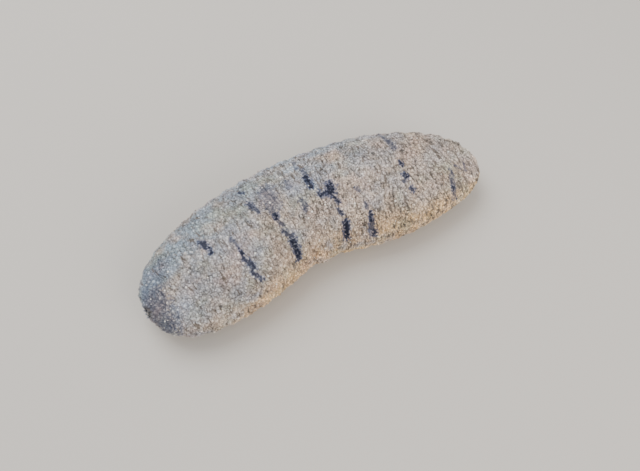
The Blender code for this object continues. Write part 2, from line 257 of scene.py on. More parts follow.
# Closed round shapes, as (radius, height, paleness, lobing) of each edge ring from the base to the tip. Radii
# and heights are in shares of the shape's size, and in mm for the mouth's skin, the peristome.
PAPILLA = (
    (1.45, -0.5, 0, 0),
    (1.05, 0.05, 0.05, 0),
    (0.66, 0.42, 0.4, 0),
    (0.34, 0.84, 0.85, 0),
    (0, 1.0, 1.0, 0),
)
GRANULE = ((1.32, -0.5, 0, 0), (0.74, 0.5, 0.3, 0), (0, 1.0, 0.6, 0))
TUBE_FOOT = (
    (0.62, 1.0, 0, 0),
    (0.5, 0.6, 0.2, 0),
    (0.6, 0.26, 0.3, 0),
    (1.0, 0.12, 0.8, 0),
    (0.96, 0.0, 0.9, 0),
    (0, 0.0, 0.3, 0),
)
TENTACLE = (
    (0.5, 0.3, 0, 0),
    (0.46, -0.6, 0.1, 0),
    (0.44, -1.1, 0.2, 0.02),
    (0.6, -1.4, 0.3, 0.05),
    (0.9, -1.6, 0.6, 0.1),
    (1.08, -1.84, 1.0, 0.11),
    (1.02, -2.08, 1.0, 0.12),
    (0.84, -2.2, 0.45, 0.08),
    (0.7, -2.14, 0.1, -0.06),
    (0.54, -2.24, 0.85, -0.13),
    (0.36, -2.32, 0.8, -0.1),
    (0.18, -2.26, 0.35, 0.05),
    (0, -2.22, 0.3, 0),
)
PERISTOME = (
    (3.0, 8.5, 0, 0),
    (6.0, 7.5, 0, 0),
    (8.0, 6.2, 0, 0),
    (9.1, 5.0, 0.1, 0),
    (8.3, 4.55, 0.3, 0.01),
    (7.4, 4.7, 0, 0.03),
    (5.5, 4.75, 0.1, 0.02),
    (3.6, 4.65, 0.1, 0.02),
    (2.4, 4.25, 0.5, 0.05),
    (1.8, 4.05, 0.8, 0.07),
    (1.25, 4.4, 0.5, 0.1),
    (0.8, 5.3, 0, 0.1),
    (0, 6.6, 0, 0),
)
PAPILLA_SIDES = 8
GRANULE_SIDES = 6
TUBE_FOOT_SIDES = 8
TENTACLE_SIDES = 44
TENTACLE_LOBES = 11
PERISTOME_SIDES = 60
PERISTOME_LOBES = 20

# How far a lobed ring's reach rises from cleft to crest and how far its clefts sink in, as shares of its
# lobing, and how sharp the clefts are.
LOBE_SPAN = 2.6
LOBE_SINK = 1.6
LOBE_SHARPNESS = 0.7

# The coat's pieces, as (name, shape, spacing, radius, height, first station, last station), in mm.
COAT_PIECES = (
    ("papillae_rear", "papilla", 2.5, 1.0, 0.7, -10, 105),
    ("papillae_front", "papilla", 2.1, 0.8, 0.55, 105, 215),
    ("granules_rear", "granule", 0.95, 0.6, 0.4, -10, 100),
    ("granules_front", "granule", 0.95, 0.58, 0.4, 100, 215),
    ("tube_feet", "tube_foot", 2.5, 0.64, 1.7, -10, 215),
)

# How each shape of the coat grows, as (where, seed, habits). Size variety is in shares of its size,
# unevenness in shares of its height, and lean in radians. Tones are drawn from -1 up to the palest.
HABIT_NAMES = ("Least cover", "Smallest", "Size variety", "Unevenness", "Lean", "Palest", "Upright on floor")
COAT_HABITS = {
    "papilla": ("coat", 5, (0.1, 0.45, 0.35, 0.45, 0.14, 0.96, 0.0)),
    "granule": ("coat", 45, (0.02, 0.45, 0.35, 0.45, 0.14, 1.0, 0.0)),
    "tube_foot": ("soles", 85, (0.5, 1.0, 0.12, 0.0, 0.0, 1.0, 1.0)),
}

# The most that a shape turns about its own axis, in radians.
FULL_TURN = 6.2832

# The most points to a square metre that the coat is thinned out from, and each shape's width on the unwrap.
DENSEST = 4e6
PATCH_WIDTH = 0.003

# The noise that makes the shapes uneven, as (waves to a metre, detail), and the middle of its colours.
COAT_UNEVENNESS = (900.0, 1.0)
RING_UNEVENNESS = (700.0, 2.0)
NOISE_MIDDLE = (0.5, 0.5, 0.5)

# Rings of shapes, as (name, count, ring radius in mm, size in mm, lean, first turn). A lean above 0 tips a
# shape's top outwards. The tentacles hang, so their lean is below 0 and their shields spread.
OUTER_TENTACLES = ("outer_tentacles", 12, 5.7, 1.62, -12, 0)
INNER_TENTACLES = ("inner_tentacles", 8, 3.3, 1.25, -8, 22.5)
ANAL_PAPILLAE = ("anal_papillae", 15, 4.6, 0.78, 24, 0)
RING_SEED = 5

# Size variety and roughness are in shares of a ring shape's size.
RING_SIZE_VARIETY = 0.12
RING_ROUGHNESS = 1.5
RING_LEAN_VARIETY = 6

# The crown of tentacles, and how it bends up towards the front.
TENTACLE_ROOT_HEIGHT = 5.1 * MM
CROWN_RISE = 0.27
CROWN_BEND = 3 * MM

# Colours, as sRGB.
TAN = "#ccbfb5"
# Painted sky reflection on the tail and the far side.
SKY_REFLECTION_GREY = "#a0b3c4"
# The cream of the lower flanks, which also carries painted light on the near side's front.
FLANK_CREAM_AND_NEAR_LIGHT = "#f6cf98"
SOLE_CREAM = "#ece2d0"
SOLE_DOT = "#7d6a5a"
DRIFT_BLUE = "#9fa9bb"
DRIFT_BROWN = "#ccb29a"
DRIFT_GREEN = "#afb8a3"
DRIFT_PINK = "#ccada2"
# Painted shade in the gaps between granules.
GAP_PAINTED_SHADE = "#c6c2bf"
# Granule tips, partly their own paleness and partly painted highlight.
TIP_PALE_AND_HIGHLIGHT = "#ece2d6"
# Painted shade in the fine wrinkles, as dashes and creases.
DASH_PAINTED_SHADE = "#544e49"
CREASE_PAINTED_SHADE = "#635950"
MARK_RIM = "#526288"
MARK_CORE = "#07102b"
PALE_GRAIN = "#fbf8f2"
# Painted shade inside the vent and the mouth.
PIT_PAINTED_SHADE = "#4d4038"
TENTACLE_BROWN = "#6c5d51"
TENTACLE_PALE = "#c9bda9"
FLOOR_GREY = "#cfcac3"
STUDIO_GREY = "#f4f4f4"

# How many of a pattern's waves go to a metre of the hide, or to a millimetre of the straightened body.
DRIFTS_PER_METRE = 62.0
GRAINS_PER_METRE = 1300.0
FINE_GRAINS_PER_METRE = 2200.0
SOLE_DOTS_PER_METRE = 700.0
FRECKLES_PER_METRE = 1500.0
BLOTCHES_PER_MM = 0.07
MOTTLES_PER_MM = (0.3, 0.2, 0.2)
DASHES_PER_MM = (0.85, 0.33, 0.33)
CREASES_PER_MM = (0.74, 0.15, 0.15)
MARK_BREAKS_PER_MM = 0.75

# Where the drifts (in metres) and the blotches (in mm) are taken from their noise.
DRIFT_START = (4.81, 2.73, 1.43)
BLOTCH_START = (1550.0, 850.0, 450.0)

# Ranges that one value is read over to give another, as (first value, last value, first result, last result).
# Stations are in mm, and the other values are those of noise, of the coat's paleness or of a mark's depth.
RANGE_NAMES = ("From Min", "From Max", "To Min", "To Max")
BLUE_FADE = (135.0, 175.0, 1.0, 0.45)
TIP_RISE = (0.0, 0.6, 0.0, 1.0)
TIP_CREST_HIGHLIGHT = (0.5, 1.0, 0.0, 0.3)
CREASE_SLANT = (145.0, 180.0, 0.0, 0.5)
CREASE_ONSET = (135.0, 190.0, 0.4, 0.46)
DASH_STATIONS = (25.0, 110.0, 0.45, 1.0)
DASH_DARKNESS = (0.49, 0.35, 0.0, 0.85)
LENGTH_LIGHT = (30.0, 115.0, 0.91, 1.03)
DOT_DARKNESS = (0.36, 0.2, 0.0, 0.85)
RIM_DARKNESS = (1.48, 2.05, 0.0, 0.65)
CORE_DARKNESS = (1.78, 2.5, 0.0, 1.0)
HIDE_ROUGHNESS = (0.0, 1.0, 0.42, 0.66)
MOUTH_ROUGHNESS = (0.0, 1.0, 0.28, 0.5)

# Drifts of colour, as (noise, its range, shade).
DRIFTS = (
    ("Red", (0.48, 0.7, 0.0, 0.8), DRIFT_BLUE),
    ("Red", (0.52, 0.3, 0.0, 0.8), DRIFT_BROWN),
    ("Green", (0.52, 0.7, 0.0, 0.5), DRIFT_GREEN),
    ("Green", (0.48, 0.3, 0.0, 0.5), DRIFT_PINK),
)

# How much each pattern adds to the hide's light and dark.
BASE_LIGHT = -1.6
BLOTCH_SHARE = 1.1
MOTTLE_SHARE = 1.1
GRAIN_SHARE = 2.95
TONE_SHARE = 0.2

# Other shares of the hide's patterns.
SOLE_PLAINNESS = 0.8
TIP_TONE_SHARE = 0.7
TIP_BASE_SHARE = 0.6
CREASE_SOFTNESS = 0.065
CREASE_DARKNESS = 0.9
MARK_UNEVENNESS = 3.1
MARK_TONE_SHARE = 0.17
PALE_GRAIN_TONE = 0.98
FRECKLE_SHARE = 0.9

# The camera, at the photo's angle.
CAMERA_AZIMUTH = -27
CAMERA_ELEVATION = 60
CAMERA_DISTANCE = 0.345
CAMERA_TARGET = (-0.00086, 0.00175, 0.015)
CAMERA_ASIDE = 5.1 * MM
CAMERA_BELOW = 11.0 * MM
CAMERA_LENS = 35

# The studio: its floor, and its lamps as (name, place, watts, width, colour).
FLOOR_REACH = 20.0
FLOOR_LEVEL = -0.05 * MM
STUDIO_STRENGTH = 0.8
LAMPS = (
    ("overhead", (-0.15, 0.45, 0.9), 8.0, 0.8, "#ffffff"),
    ("near", (0.3, -0.86, 0.5), 7.0, 0.9, "#fff8f0"),
)


def smooth_step(share):
    """A smooth rise from 0 at 0 to 1 at 1."""
    share = np.clip(share, 0.0, 1.0)
    return share * share * (3 - 2 * share)


def rising(values, start, length):
    """0 before the start and 1 once past the length, with a smooth rise between."""
    return smooth_step((values - start) / length)


def over_span(values, span):
    """0 before the span and 1 after it, with a smooth rise between."""
    return rising(values, span[0], span[1] - span[0])


def bell(distance, reach):
    """1 at no distance, fading out smoothly past the reach."""
    return np.exp(-((distance / reach) ** 2))


def along(table, shares):
    """Reads a table of (share, size) with a smooth curve through its points."""
    stations, sizes = np.array(table).T
    low = np.clip(np.searchsorted(stations, shares, side="right") - 1, 0, len(stations) - 2)
    step = stations[low + 1] - stations[low]
    part = (shares - stations[low]) / step
    slopes = np.gradient(sizes, stations)
    rise = part * part * (3 - 2 * part)
    leaving = step * slopes[low] * part * (1 - part) ** 2
    arriving = step * slopes[low + 1] * part**2 * (1 - part)
    return sizes[low] + (sizes[low + 1] - sizes[low]) * rise + leaving - arriving


def headings(shares):
    """The spine's direction, in radians from +X."""
    bend = BODY_TURN * over_span(shares, BODY_TURN_SPAN)
    head_bend = HEAD_TURN * over_span(shares, HEAD_TURN_SPAN)
    return np.radians(TAIL_HEADING + bend + head_bend)


def lay_spine():
    """Shares of the spine, and the point of the floor plan at each."""
    shares = np.linspace(0.0, 1.0, SPINE_STEPS + 1)
    middles = (shares[1:] + shares[:-1]) / 2
    turned = headings(middles)
    steps = SPINE_LENGTH / SPINE_STEPS * np.column_stack((np.cos(turned), np.sin(turned)))
    return shares, np.array(TAIL_TIP) + np.vstack(((0, 0), np.cumsum(steps, axis=0)))


SPINE_SHARES, SPINE_PLAN = lay_spine()


def spine_points(shares):
    """Points of the floor plan along the spine."""
    return np.column_stack([np.interp(shares, SPINE_SHARES, SPINE_PLAN[:, axis]) for axis in (0, 1)])


def end_rounding(shares):
    """How full the loaf is: 1 over the middle, falling to 0 at both tips."""
    power = np.where(shares < 0.5, TAIL_BLUNTNESS, MOUTH_BLUNTNESS)
    return np.clip(1 - np.abs(2 * shares - 1) ** power, 0, 1) ** (1 / power)


def section_places(shares, angles):
    """Points of the smooth form as (station, sideways, height) along the straightened body."""
    fullness = end_rounding(shares)
    reach = along(HALF_WIDTHS, shares) * fullness
    up, side = np.cos(angles), np.sin(angles)
    upper = up > 0
    power = np.where(upper, BACK_FULLNESS, FLANK_FULLNESS)
    length = (np.abs(up) ** power + np.abs(side) ** power) ** (1 / power)
    rise = np.where(upper, along(HEIGHTS, shares) - END_TIP_HEIGHT, END_TIP_HEIGHT + SOLE_PRESS)
    heights = np.maximum(END_TIP_HEIGHT + rise * fullness * up / length, SOLE_LEVEL)
    return np.column_stack((shares * SPINE_LENGTH, reach * side / length, heights))


def bend_to_spine(places):
    """Points in the model's own frame, from places along the straightened body."""
    shares = places[:, 0] / SPINE_LENGTH
    plan = spine_points(shares)
    heading = headings(shares)
    x = plan[:, 0] - np.sin(heading) * places[:, 1]
    y = plan[:, 1] + np.cos(heading) * places[:, 1]
    return np.column_stack((x, y, places[:, 2]))


def section_points(shares, angles):
    """Points of the smooth form in the model's own frame."""
    return bend_to_spine(section_places(shares, angles))


def run_length(points):
    """The distance run along a line of points, at each of them."""
    steps = np.linalg.norm(np.diff(points, axis=0), axis=1)
    return np.concatenate(((0,), np.cumsum(steps)))


def ring_shares(rings):
    """Shares of the spine that put the rings at even steps over the skin."""
    dense = (1 - np.cos(np.linspace(0, np.pi, EVEN_STATIONS + 1))) / 2
    outline = np.column_stack((dense * SPINE_LENGTH, along(HALF_WIDTHS, dense) * end_rounding(dense)))
    run = run_length(outline)
    return np.interp(np.linspace(0, run[-1], rings + 1), run, dense)


def even_angles(share, turns):
    """Angles that put points at even steps round one section, from the middle of the sole."""
    dense = np.linspace(-np.pi, np.pi, EVEN_ANGLES + 1)
    run = run_length(section_points(np.full(len(dense), share), dense))
    return np.interp(turns * run[-1], run, dense)


def folds(shares, angles):
    """The height of the skin's folds, grooves and swell over the smooth form."""
    stations = shares * SPINE_LENGTH
    waver = sum(strength * np.sin(waves * angles + start) for strength, waves, start in FOLD_WAVERS)
    body = FOLD_DEPTH * np.sin(2 * np.pi * stations / FOLD_SPACING + waver)
    front_share = over_span(stations, FRONT_FOLD_SPAN)
    front = FRONT_FOLD_DEPTH * front_share * np.sin(2 * np.pi * stations / FRONT_FOLD_SPACING + waver)
    swell = np.clip(-np.sin(angles), 0, 1) ** 2 * bell(stations - SWELL_STATION, SWELL_HALF_LENGTH)
    height = body + front + SWELL_HEIGHT * swell
    for station, first, last, depth in GROOVES:
        middle, reach = math.radians(first + last) / 2, math.radians(last - first) / 2
        inside = 1 - smooth_step((np.abs(angles - middle) - reach) / math.radians(GROOVE_FADE))
        height = height - depth * inside * bell(stations - station, GROOVE_HALF_WIDTH)
    return height


def slanting_wave(places, strength, sideways, upwards, onwards):
    """A wave over the straightened body, whose lengths over 2 pi are in mm."""
    station, side, height = places.T
    turns = side / (sideways * MM) + height / (upwards * MM) + station / (onwards * MM)
    return strength * np.sin(turns)


def wrinkles(places):
    """The height of the fine wrinkles across the body, which fork and fade."""
    shift = sum(slanting_wave(places, *wave) for wave in WRINKLE_SHIFTS)
    fading = WRINKLE_MEAN + slanting_wave(places, *WRINKLE_FADING)
    return WRINKLE_DEPTH * fading * np.sin(2 * np.pi * places[:, 0] / WRINKLE_SPACING + shift)


def linear(code):
    """An sRGB hex colour in linear light, opaque."""
    shares = [int(code[place : place + 2], 16) / 255 for place in (1, 3, 5)]
    lit = [share / 12.92 if share <= 0.04045 else ((share + 0.055) / 1.055) ** 2.4 for share in shares]
    return (*lit, 1)


def feed(tree, node, inputs):
    """Sets inputs of a node. Each is a value, one result of a node, or a node whose first result feeds it."""
    named = {socket.name: socket for socket in node.inputs if socket.enabled}
    for key, source in inputs.items():
        socket = node.inputs[key] if isinstance(key, int) else named[key]
        if isinstance(source, bpy.types.Node):
            source = next(result for result in source.outputs if result.enabled)
        if isinstance(source, bpy.types.NodeSocket):
            tree.links.new(source, socket)
        else:
            socket.default_value = source


def add_node(tree, kind, inputs=None, **settings):
    """Adds a node with its settings and links."""
    node = tree.nodes.new(kind)
    for name, value in settings.items():
        setattr(node, name, value)
    feed(tree, node, inputs or {})
    return node


def ranged(value, limits):
    """A node's inputs that read a value over a range."""
    return {"Value": value, **dict(zip(RANGE_NAMES, limits))}


def put_attribute(mesh, name, kind, values):
    """Stores one value or vector at each point of a mesh."""
    attribute = mesh.attributes.new(name, kind, "POINT")
    field = "vector" if kind == "FLOAT_VECTOR" else "value"
    attribute.data.foreach_set(field, np.ascontiguousarray(values, dtype=np.float32).ravel())


def object_of(mesh):
    """A linked object at the origin that shows a mesh."""
    obj = bpy.data.objects.new(mesh.name, mesh)
    bpy.context.scene.collection.objects.link(obj)
    return obj


def skin_grid():
    """Shares and angles of the skin's points, its faces, and the faces' corners on the unwrap."""
    shares = ring_shares(SKIN_RINGS)
    turns = np.arange(SKIN_STEPS) / SKIN_STEPS
    point_shares = [0.0]
    point_angles = [0.0]
    for share in shares[1:-1]:
        point_shares.extend([share] * SKIN_STEPS)
        point_angles.extend(even_angles(share, turns))
    point_shares.append(1.0)
    point_angles.append(0.0)
    faces = []
    unwrap = []
    last = len(point_shares) - 1
    for ring in range(SKIN_RINGS):
        near, far = ring / SKIN_RINGS, (ring + 1) / SKIN_RINGS
        row, next_row = 1 + (ring - 1) * SKIN_STEPS, 1 + ring * SKIN_STEPS
        for step in range(SKIN_STEPS):
            after = (step + 1) % SKIN_STEPS
            low, middle, high = (step / SKIN_STEPS, (step + 0.5) / SKIN_STEPS, (step + 1) / SKIN_STEPS)
            if ring == 0:
                faces.append((0, next_row + step, next_row + after))
                unwrap.extend(((near, middle), (far, low), (far, high)))
            elif ring == SKIN_RINGS - 1:
                faces.append((row + step, last, row + after))
                unwrap.extend(((near, low), (far, middle), (near, high)))
            else:
                faces.append((row + step, next_row + step, next_row + after, row + after))
                unwrap.extend(((near, low), (far, low), (far, high), (near, high)))
    corners = UNWRAP_MARGIN + (1 - 2 * UNWRAP_MARGIN) * np.array(unwrap)
    return np.array(point_shares), np.array(point_angles), faces, corners


def end_face_stations(sideways, heights):
    """Stations that put places of the tail's end face on the smooth form."""
    rise = heights - END_TIP_HEIGHT
    upper = rise > 0
    power = np.where(upper, BACK_FULLNESS, FLANK_FULLNESS)
    tall = np.where(upper, HEIGHTS[0][1] - END_TIP_HEIGHT, END_TIP_HEIGHT + SOLE_PRESS)
    across, upwards = np.abs(sideways) / HALF_WIDTHS[0][1], np.abs(rise) / tall
    fullness = (across**power + upwards**power) ** (1 / power)
    return SPINE_LENGTH * (1 - (1 - fullness**TAIL_BLUNTNESS) ** (1 / TAIL_BLUNTNESS)) / 2


def from_vent(places):
    """The distance and bearing of each place from the vent's middle, for places of the end face."""
    station, sideways, height = places.T
    away = np.where(station < END_FACE_DEPTH, np.hypot(sideways, height - VENT_HEIGHT), FAR_AWAY)
    return away, np.arctan2(sideways, height - VENT_HEIGHT)


def from_mouth(places, angles):
    """The distance and bearing of each place from the mouth's middle, for places of the underside."""
    ahead, sideways = places[:, 0] - MOUTH_STATION, places[:, 1]
    under = np.abs(angles) > math.radians(UNDERSIDE_FROM)
    return np.where(under, np.hypot(ahead, sideways), FAR_AWAY), np.arctan2(sideways, ahead)


def crowd_round_vent(places):
    """Draws the skin's points closer together round the vent, along the end face."""
    away, bearing = from_vent(places)
    near = away < VENT_CROWD_REACH
    reach = away[near] * (1 - VENT_CROWDING * (1 - smooth_step(away[near] / VENT_CROWD_REACH)))
    crowded = places.copy()
    crowded[near, 1] = reach * np.sin(bearing[near])
    crowded[near, 2] = VENT_HEIGHT + reach * np.cos(bearing[near])
    crowded[near, 0] = end_face_stations(crowded[near, 1], crowded[near, 2])
    return crowded


def tail_heading():
    """The spine's direction at the rear end, in radians."""
    return headings(np.zeros(1))[0]


def mouth_heading():
    """The spine's direction over the mouth, in radians."""
    return headings(np.full(1, MOUTH_STATION / SPINE_LENGTH))[0]


def press_vent(points, places):
    """Presses the vent's puckered pit into the tail's end face, with a low rim round it."""
    away, bearing = from_vent(places)
    pit = VENT_DEPTH * (1 - smooth_step((away - VENT_FLOOR_RADIUS) / (VENT_RADIUS - VENT_FLOOR_RADIUS)))
    rim = VENT_RIM_HEIGHT * bell(away - VENT_RIM_RADIUS, VENT_RIM_REACH)
    waver = VENT_PLEAT_WAVER * np.sin(VENT_PLEAT_WAVES * bearing)
    puckers = 0.5 + 0.5 * np.cos(VENT_PLEATS * bearing + waver)
    pleats = VENT_PLEAT_DEPTH * puckers * bell(away - VENT_PLEAT_RADIUS, VENT_PLEAT_REACH)
    inwards = (math.cos(tail_heading()), math.sin(tail_heading()), 0)
    return points + (pit - rim + pleats)[:, None] * inwards


def press_mouth(points, places, angles):
    """Presses the mouth's cup into the underside, and rounds and pleats its lip."""
    away, bearing = from_mouth(places, angles)
    dome = CUP_RIM_HEIGHT + CUP_DEPTH * np.sqrt(np.clip(1 - (away / CUP_RADIUS) ** 2, 0, 1))
    pressed = points.copy()
    pressed[:, 2] = np.where(away < CUP_RADIUS, np.maximum(points[:, 2], dome), points[:, 2])
    grid = pressed[1:-1].reshape(SKIN_RINGS - 1, SKIN_STEPS, 3)
    rounded = (np.abs(away - CUP_RADIUS) < LIP_ROUNDING)[1:-1].reshape(SKIN_RINGS - 1, SKIN_STEPS)
    for _ in range(LIP_ROUNDS):
        around = np.roll(grid, 1, 0) + np.roll(grid, -1, 0) + np.roll(grid, 1, 1) + np.roll(grid, -1, 1)
        grid[rounded] = around[rounded] / 4
    lobes = np.cos(LIP_FOLDS * bearing)
    pressed[:, 2] -= LIP_HEIGHT * bell(away - LIP_RADIUS, LIP_REACH) * (1 + LIP_FOLD_SHARE * lobes)
    pleat = LIP_PLEAT_DEPTH * bell(away - CUP_RADIUS, LIP_PLEAT_REACH) * lobes
    turned = bearing + mouth_heading()
    pressed[:, 0] += pleat * np.cos(turned)
    pressed[:, 1] += pleat * np.sin(turned)
    return pressed


def tints_and_light_fields(places, angles):
    """How much painted sky reflection blues each point's colour, how much cream it takes, with painted
    near-side light on the front, and how much it belongs to the sole.
    """
    station, height, degrees = (places[:, 0] / MM, places[:, 2] / MM, np.degrees(angles))
    far_side = rising(degrees, *SKY_REFLECTION_FAR_ANGLES)
    tail = rising(station, *SKY_REFLECTION_TAIL_STATIONS)
    sky_reflection = tail * (TAIL_SKY_REFLECTION + FAR_TAIL_SKY_REFLECTION * far_side)
    sky_reflection = sky_reflection + FAR_SKY_REFLECTION * (1 - tail) * far_side * rising(station, *SKY_REFLECTION_MIDDLE_STATIONS)
    # The cream rises higher on the front of the near flank, as painted light.
    near_front_light = rising(station, *NEAR_LIGHT_STATIONS) * rising(degrees, *NEAR_LIGHT_ANGLES)
    cream_and_near_light = rising(np.abs(degrees) + NEAR_LIGHT_REACH * near_front_light, *WARM_ANGLES)
    cream_and_near_light = cream_and_near_light * (TAIL_WARMTH + (1 - TAIL_WARMTH) * rising(station, *WARM_STATIONS))
    sole = 1 - rising(height, *SOLE_HEIGHTS)
    return np.column_stack((sky_reflection, cream_and_near_light, sole))


def mark_fields(points):
    """How far inside a dark mark each point lies, and how dark that mark is."""
    inside = np.zeros(len(points))
    darkness = np.zeros(len(points))
    steps = np.linspace(0, 1, MARK_STEPS)
    for first_station, first_angle, last_station, last_angle, width, dark in DARK_MARKS:
        stations = first_station + (last_station - first_station) * steps
        turned = np.radians(first_angle + (last_angle - first_angle) * steps)
        line = section_points(stations * MM / SPINE_LENGTH, turned)
        near = np.flatnonzero(np.linalg.norm(points - line.mean(axis=0), axis=1) < MARK_REACH)
        away = np.linalg.norm(points[near, None] - line[None], axis=2).min(axis=1)
        depth = np.clip(MARK_DEPTH - MARK_FALL * away / (width / 2 * MM), 0, 1)
        better = depth * dark > inside[near] * darkness[near]
        inside[near[better]] = depth[better]
        darkness[near[better]] = dark
    return inside, darkness


def make_skin(hide):
    """The whole skin as one closed surface, with the fields that its markings, its painted light and shade,
    and its coat read.
    """
    shares, angles, faces, unwrap = skin_grid()
    places = crowd_round_vent(section_places(shares, angles))
    smooth = bend_to_spine(places)
    mesh = bpy.data.meshes.new("skin")
    mesh.from_pydata(smooth.tolist(), [], faces, shade_flat=False)
    normals = np.empty(len(smooth) * 3, dtype=np.float32)
    mesh.vertices.foreach_get("normal", normals)
    relief = smooth_step((smooth[:, 2] - SOLE_LEVEL) / RELIEF_START)
    rise = relief * (folds(places[:, 0] / SPINE_LENGTH, angles) + wrinkles(places)) - SKIN_INSET
    shaped = press_vent(smooth + rise[:, None] * normals.reshape(-1, 3), places)
    shaped = press_mouth(shaped, places, angles)
    mesh.vertices.foreach_set("co", shaped.astype(np.float32).ravel())
    height = places[:, 2] / MM
    vent_away, mouth_away = from_vent(places)[0] / MM, from_mouth(places, angles)[0] / MM
    # Painted shade inside the vent and the mouth, kept as the marks' third value.
    pit_shade = np.maximum(1 - rising(vent_away, *VENT_PAINTED_SHADE), 1 - rising(mouth_away, *MOUTH_PAINTED_SHADE))
    bare_skin = rising(mouth_away, *BARE_MOUTH) * rising(vent_away, *BARE_VENT)
    coat = rising(height, *COAT_HEIGHTS) * bare_skin
    soles = (1 - rising(height, *FEET_HEIGHTS)) * rising(mouth_away, *FEET_FROM_MOUTH)
    put_attribute(mesh, "body_place", "FLOAT_VECTOR", places / MM)
    # The tints hold painted sky reflection, the flank cream with painted near-side light, and the sole's
    # share.
    put_attribute(mesh, "tints", "FLOAT_VECTOR", tints_and_light_fields(places, angles))
    put_attribute(mesh, "marks", "FLOAT_VECTOR", np.column_stack((*mark_fields(smooth), pit_shade)))
    put_attribute(mesh, "coat", "FLOAT", coat)
    put_attribute(mesh, "soles", "FLOAT", soles)
    layer = mesh.uv_layers.new(name="OFBake")
    layer.uv.foreach_set("vector", unwrap.astype(np.float32).ravel())
    mesh.materials.append(hide)
    mesh.update()
    return object_of(mesh)


def round_shape(name, profile, sides, lobes=1):
    """A closed round shape, from the (radius, height, paleness, lobing) of its edge rings, base first."""
    rings = np.array(profile)
    turns = 2 * np.pi * np.arange(sides) / sides
    lobed = LOBE_SPAN * np.abs(np.cos(lobes * turns / 2)) ** LOBE_SHARPNESS - LOBE_SINK
    points = []
    for radius, height, _, lobing in rings[:-1]:
        reach = radius * (1 + lobing * lobed)
        ring = np.column_stack((reach * np.cos(turns), reach * np.sin(turns), np.full(sides, height)))
        points.extend(ring.tolist())
    points.append([0.0, 0.0, rings[-1, 1]])
    faces = [list(range(sides))[::-1]]
    for ring in range(len(rings) - 2):
        for side in range(sides):
            low, after = ring * sides + side, ring * sides + (side + 1) % sides
            faces.append([low, after, after + sides, low + sides])
    top = (len(rings) - 2) * sides
    faces.extend([top + side, top + (side + 1) % sides, len(points) - 1] for side in range(sides))
    if rings[-1, 1] < rings[0, 1]:
        faces = [face[::-1] for face in faces]
    mesh = bpy.data.meshes.new(name)
    mesh.from_pydata(points, [], faces, shade_flat=False)
    for edge in mesh.edges:
        edge.use_edge_sharp = max(edge.vertices) < sides
    out = np.append(np.repeat(1 - np.arange(len(rings) - 1) / (len(rings) - 1), sides), 0)
    around = np.append(np.tile(turns, len(rings) - 1), 0)
    patch = np.column_stack((out * np.cos(around), out * np.sin(around), 0 * around)) / 2
    put_attribute(mesh, "tip", "FLOAT", np.append(np.repeat(rings[:-1, 2], sides), rings[-1, 2]))
    put_attribute(mesh, "patch", "FLOAT_VECTOR", patch)
    return object_of(mesh)


def open_tree(name, inputs):
    """A Geometry Nodes tree, the function that adds its nodes, and the sockets of its named inputs."""
    tree = bpy.data.node_groups.new(name, "GeometryNodeTree")
    for kind, labels in inputs.items():
        for label in labels:
            tree.interface.new_socket(name=label, in_out="INPUT", socket_type="NodeSocket" + kind)
    tree.interface.new_socket(name="Mesh", in_out="OUTPUT", socket_type="NodeSocketGeometry")
    add = partial(add_node, tree)
    return tree, add, add("NodeGroupInput").outputs


def vary(add, given, seed):
    """Nodes that draw a size for each shape, as a share near 1."""
    drawn = add("FunctionNodeRandomValue", {"Min": -1.0, "Max": 1.0, "Seed": seed})
    return add("ShaderNodeMath", {0: drawn, 1: given["Size variety"], 2: 1.0}, operation="MULTIPLY_ADD")


def stand_shapes(add, given, roots, standing, scale, unevenness):
    """Nodes that stand a shape on each root as real mesh, and push its paler points about by noise."""
    shape = add("GeometryNodeObjectInfo", {"Object": given["Shape"]}, transform_space="ORIGINAL")
    placed = {"Points": roots, "Instance": shape.outputs["Geometry"], "Rotation": standing, "Scale": scale}
    stood = add("GeometryNodeInstanceOnPoints", placed)
    real = add("GeometryNodeRealizeInstances", {"Geometry": stood})
    here = add("GeometryNodeInputPosition")
    waves, detail = unevenness
    noise = add("ShaderNodeTexNoise", {"Vector": here, "Scale": waves, "Detail": detail})
    push = add("ShaderNodeVectorMath", {0: noise.outputs["Color"], 1: NOISE_MIDDLE}, operation="SUBTRACT")
    tip = add("GeometryNodeInputNamedAttribute", {"Name": "tip"})
    reach = add("ShaderNodeMath", {0: given["Unevenness"], 1: tip}, operation="MULTIPLY")
    pushed = add("ShaderNodeVectorMath", {0: push, "Scale": reach}, operation="SCALE")
    return add("GeometryNodeSetPosition", {"Geometry": real, "Offset": pushed})


def close_tree(add, given, mesh):
    """Ends a tree with the finished mesh."""
    finished = add("GeometryNodeSetMaterial", {"Geometry": mesh, "Material": given["Finish"]})
    add("NodeGroupOutput", {0: finished})


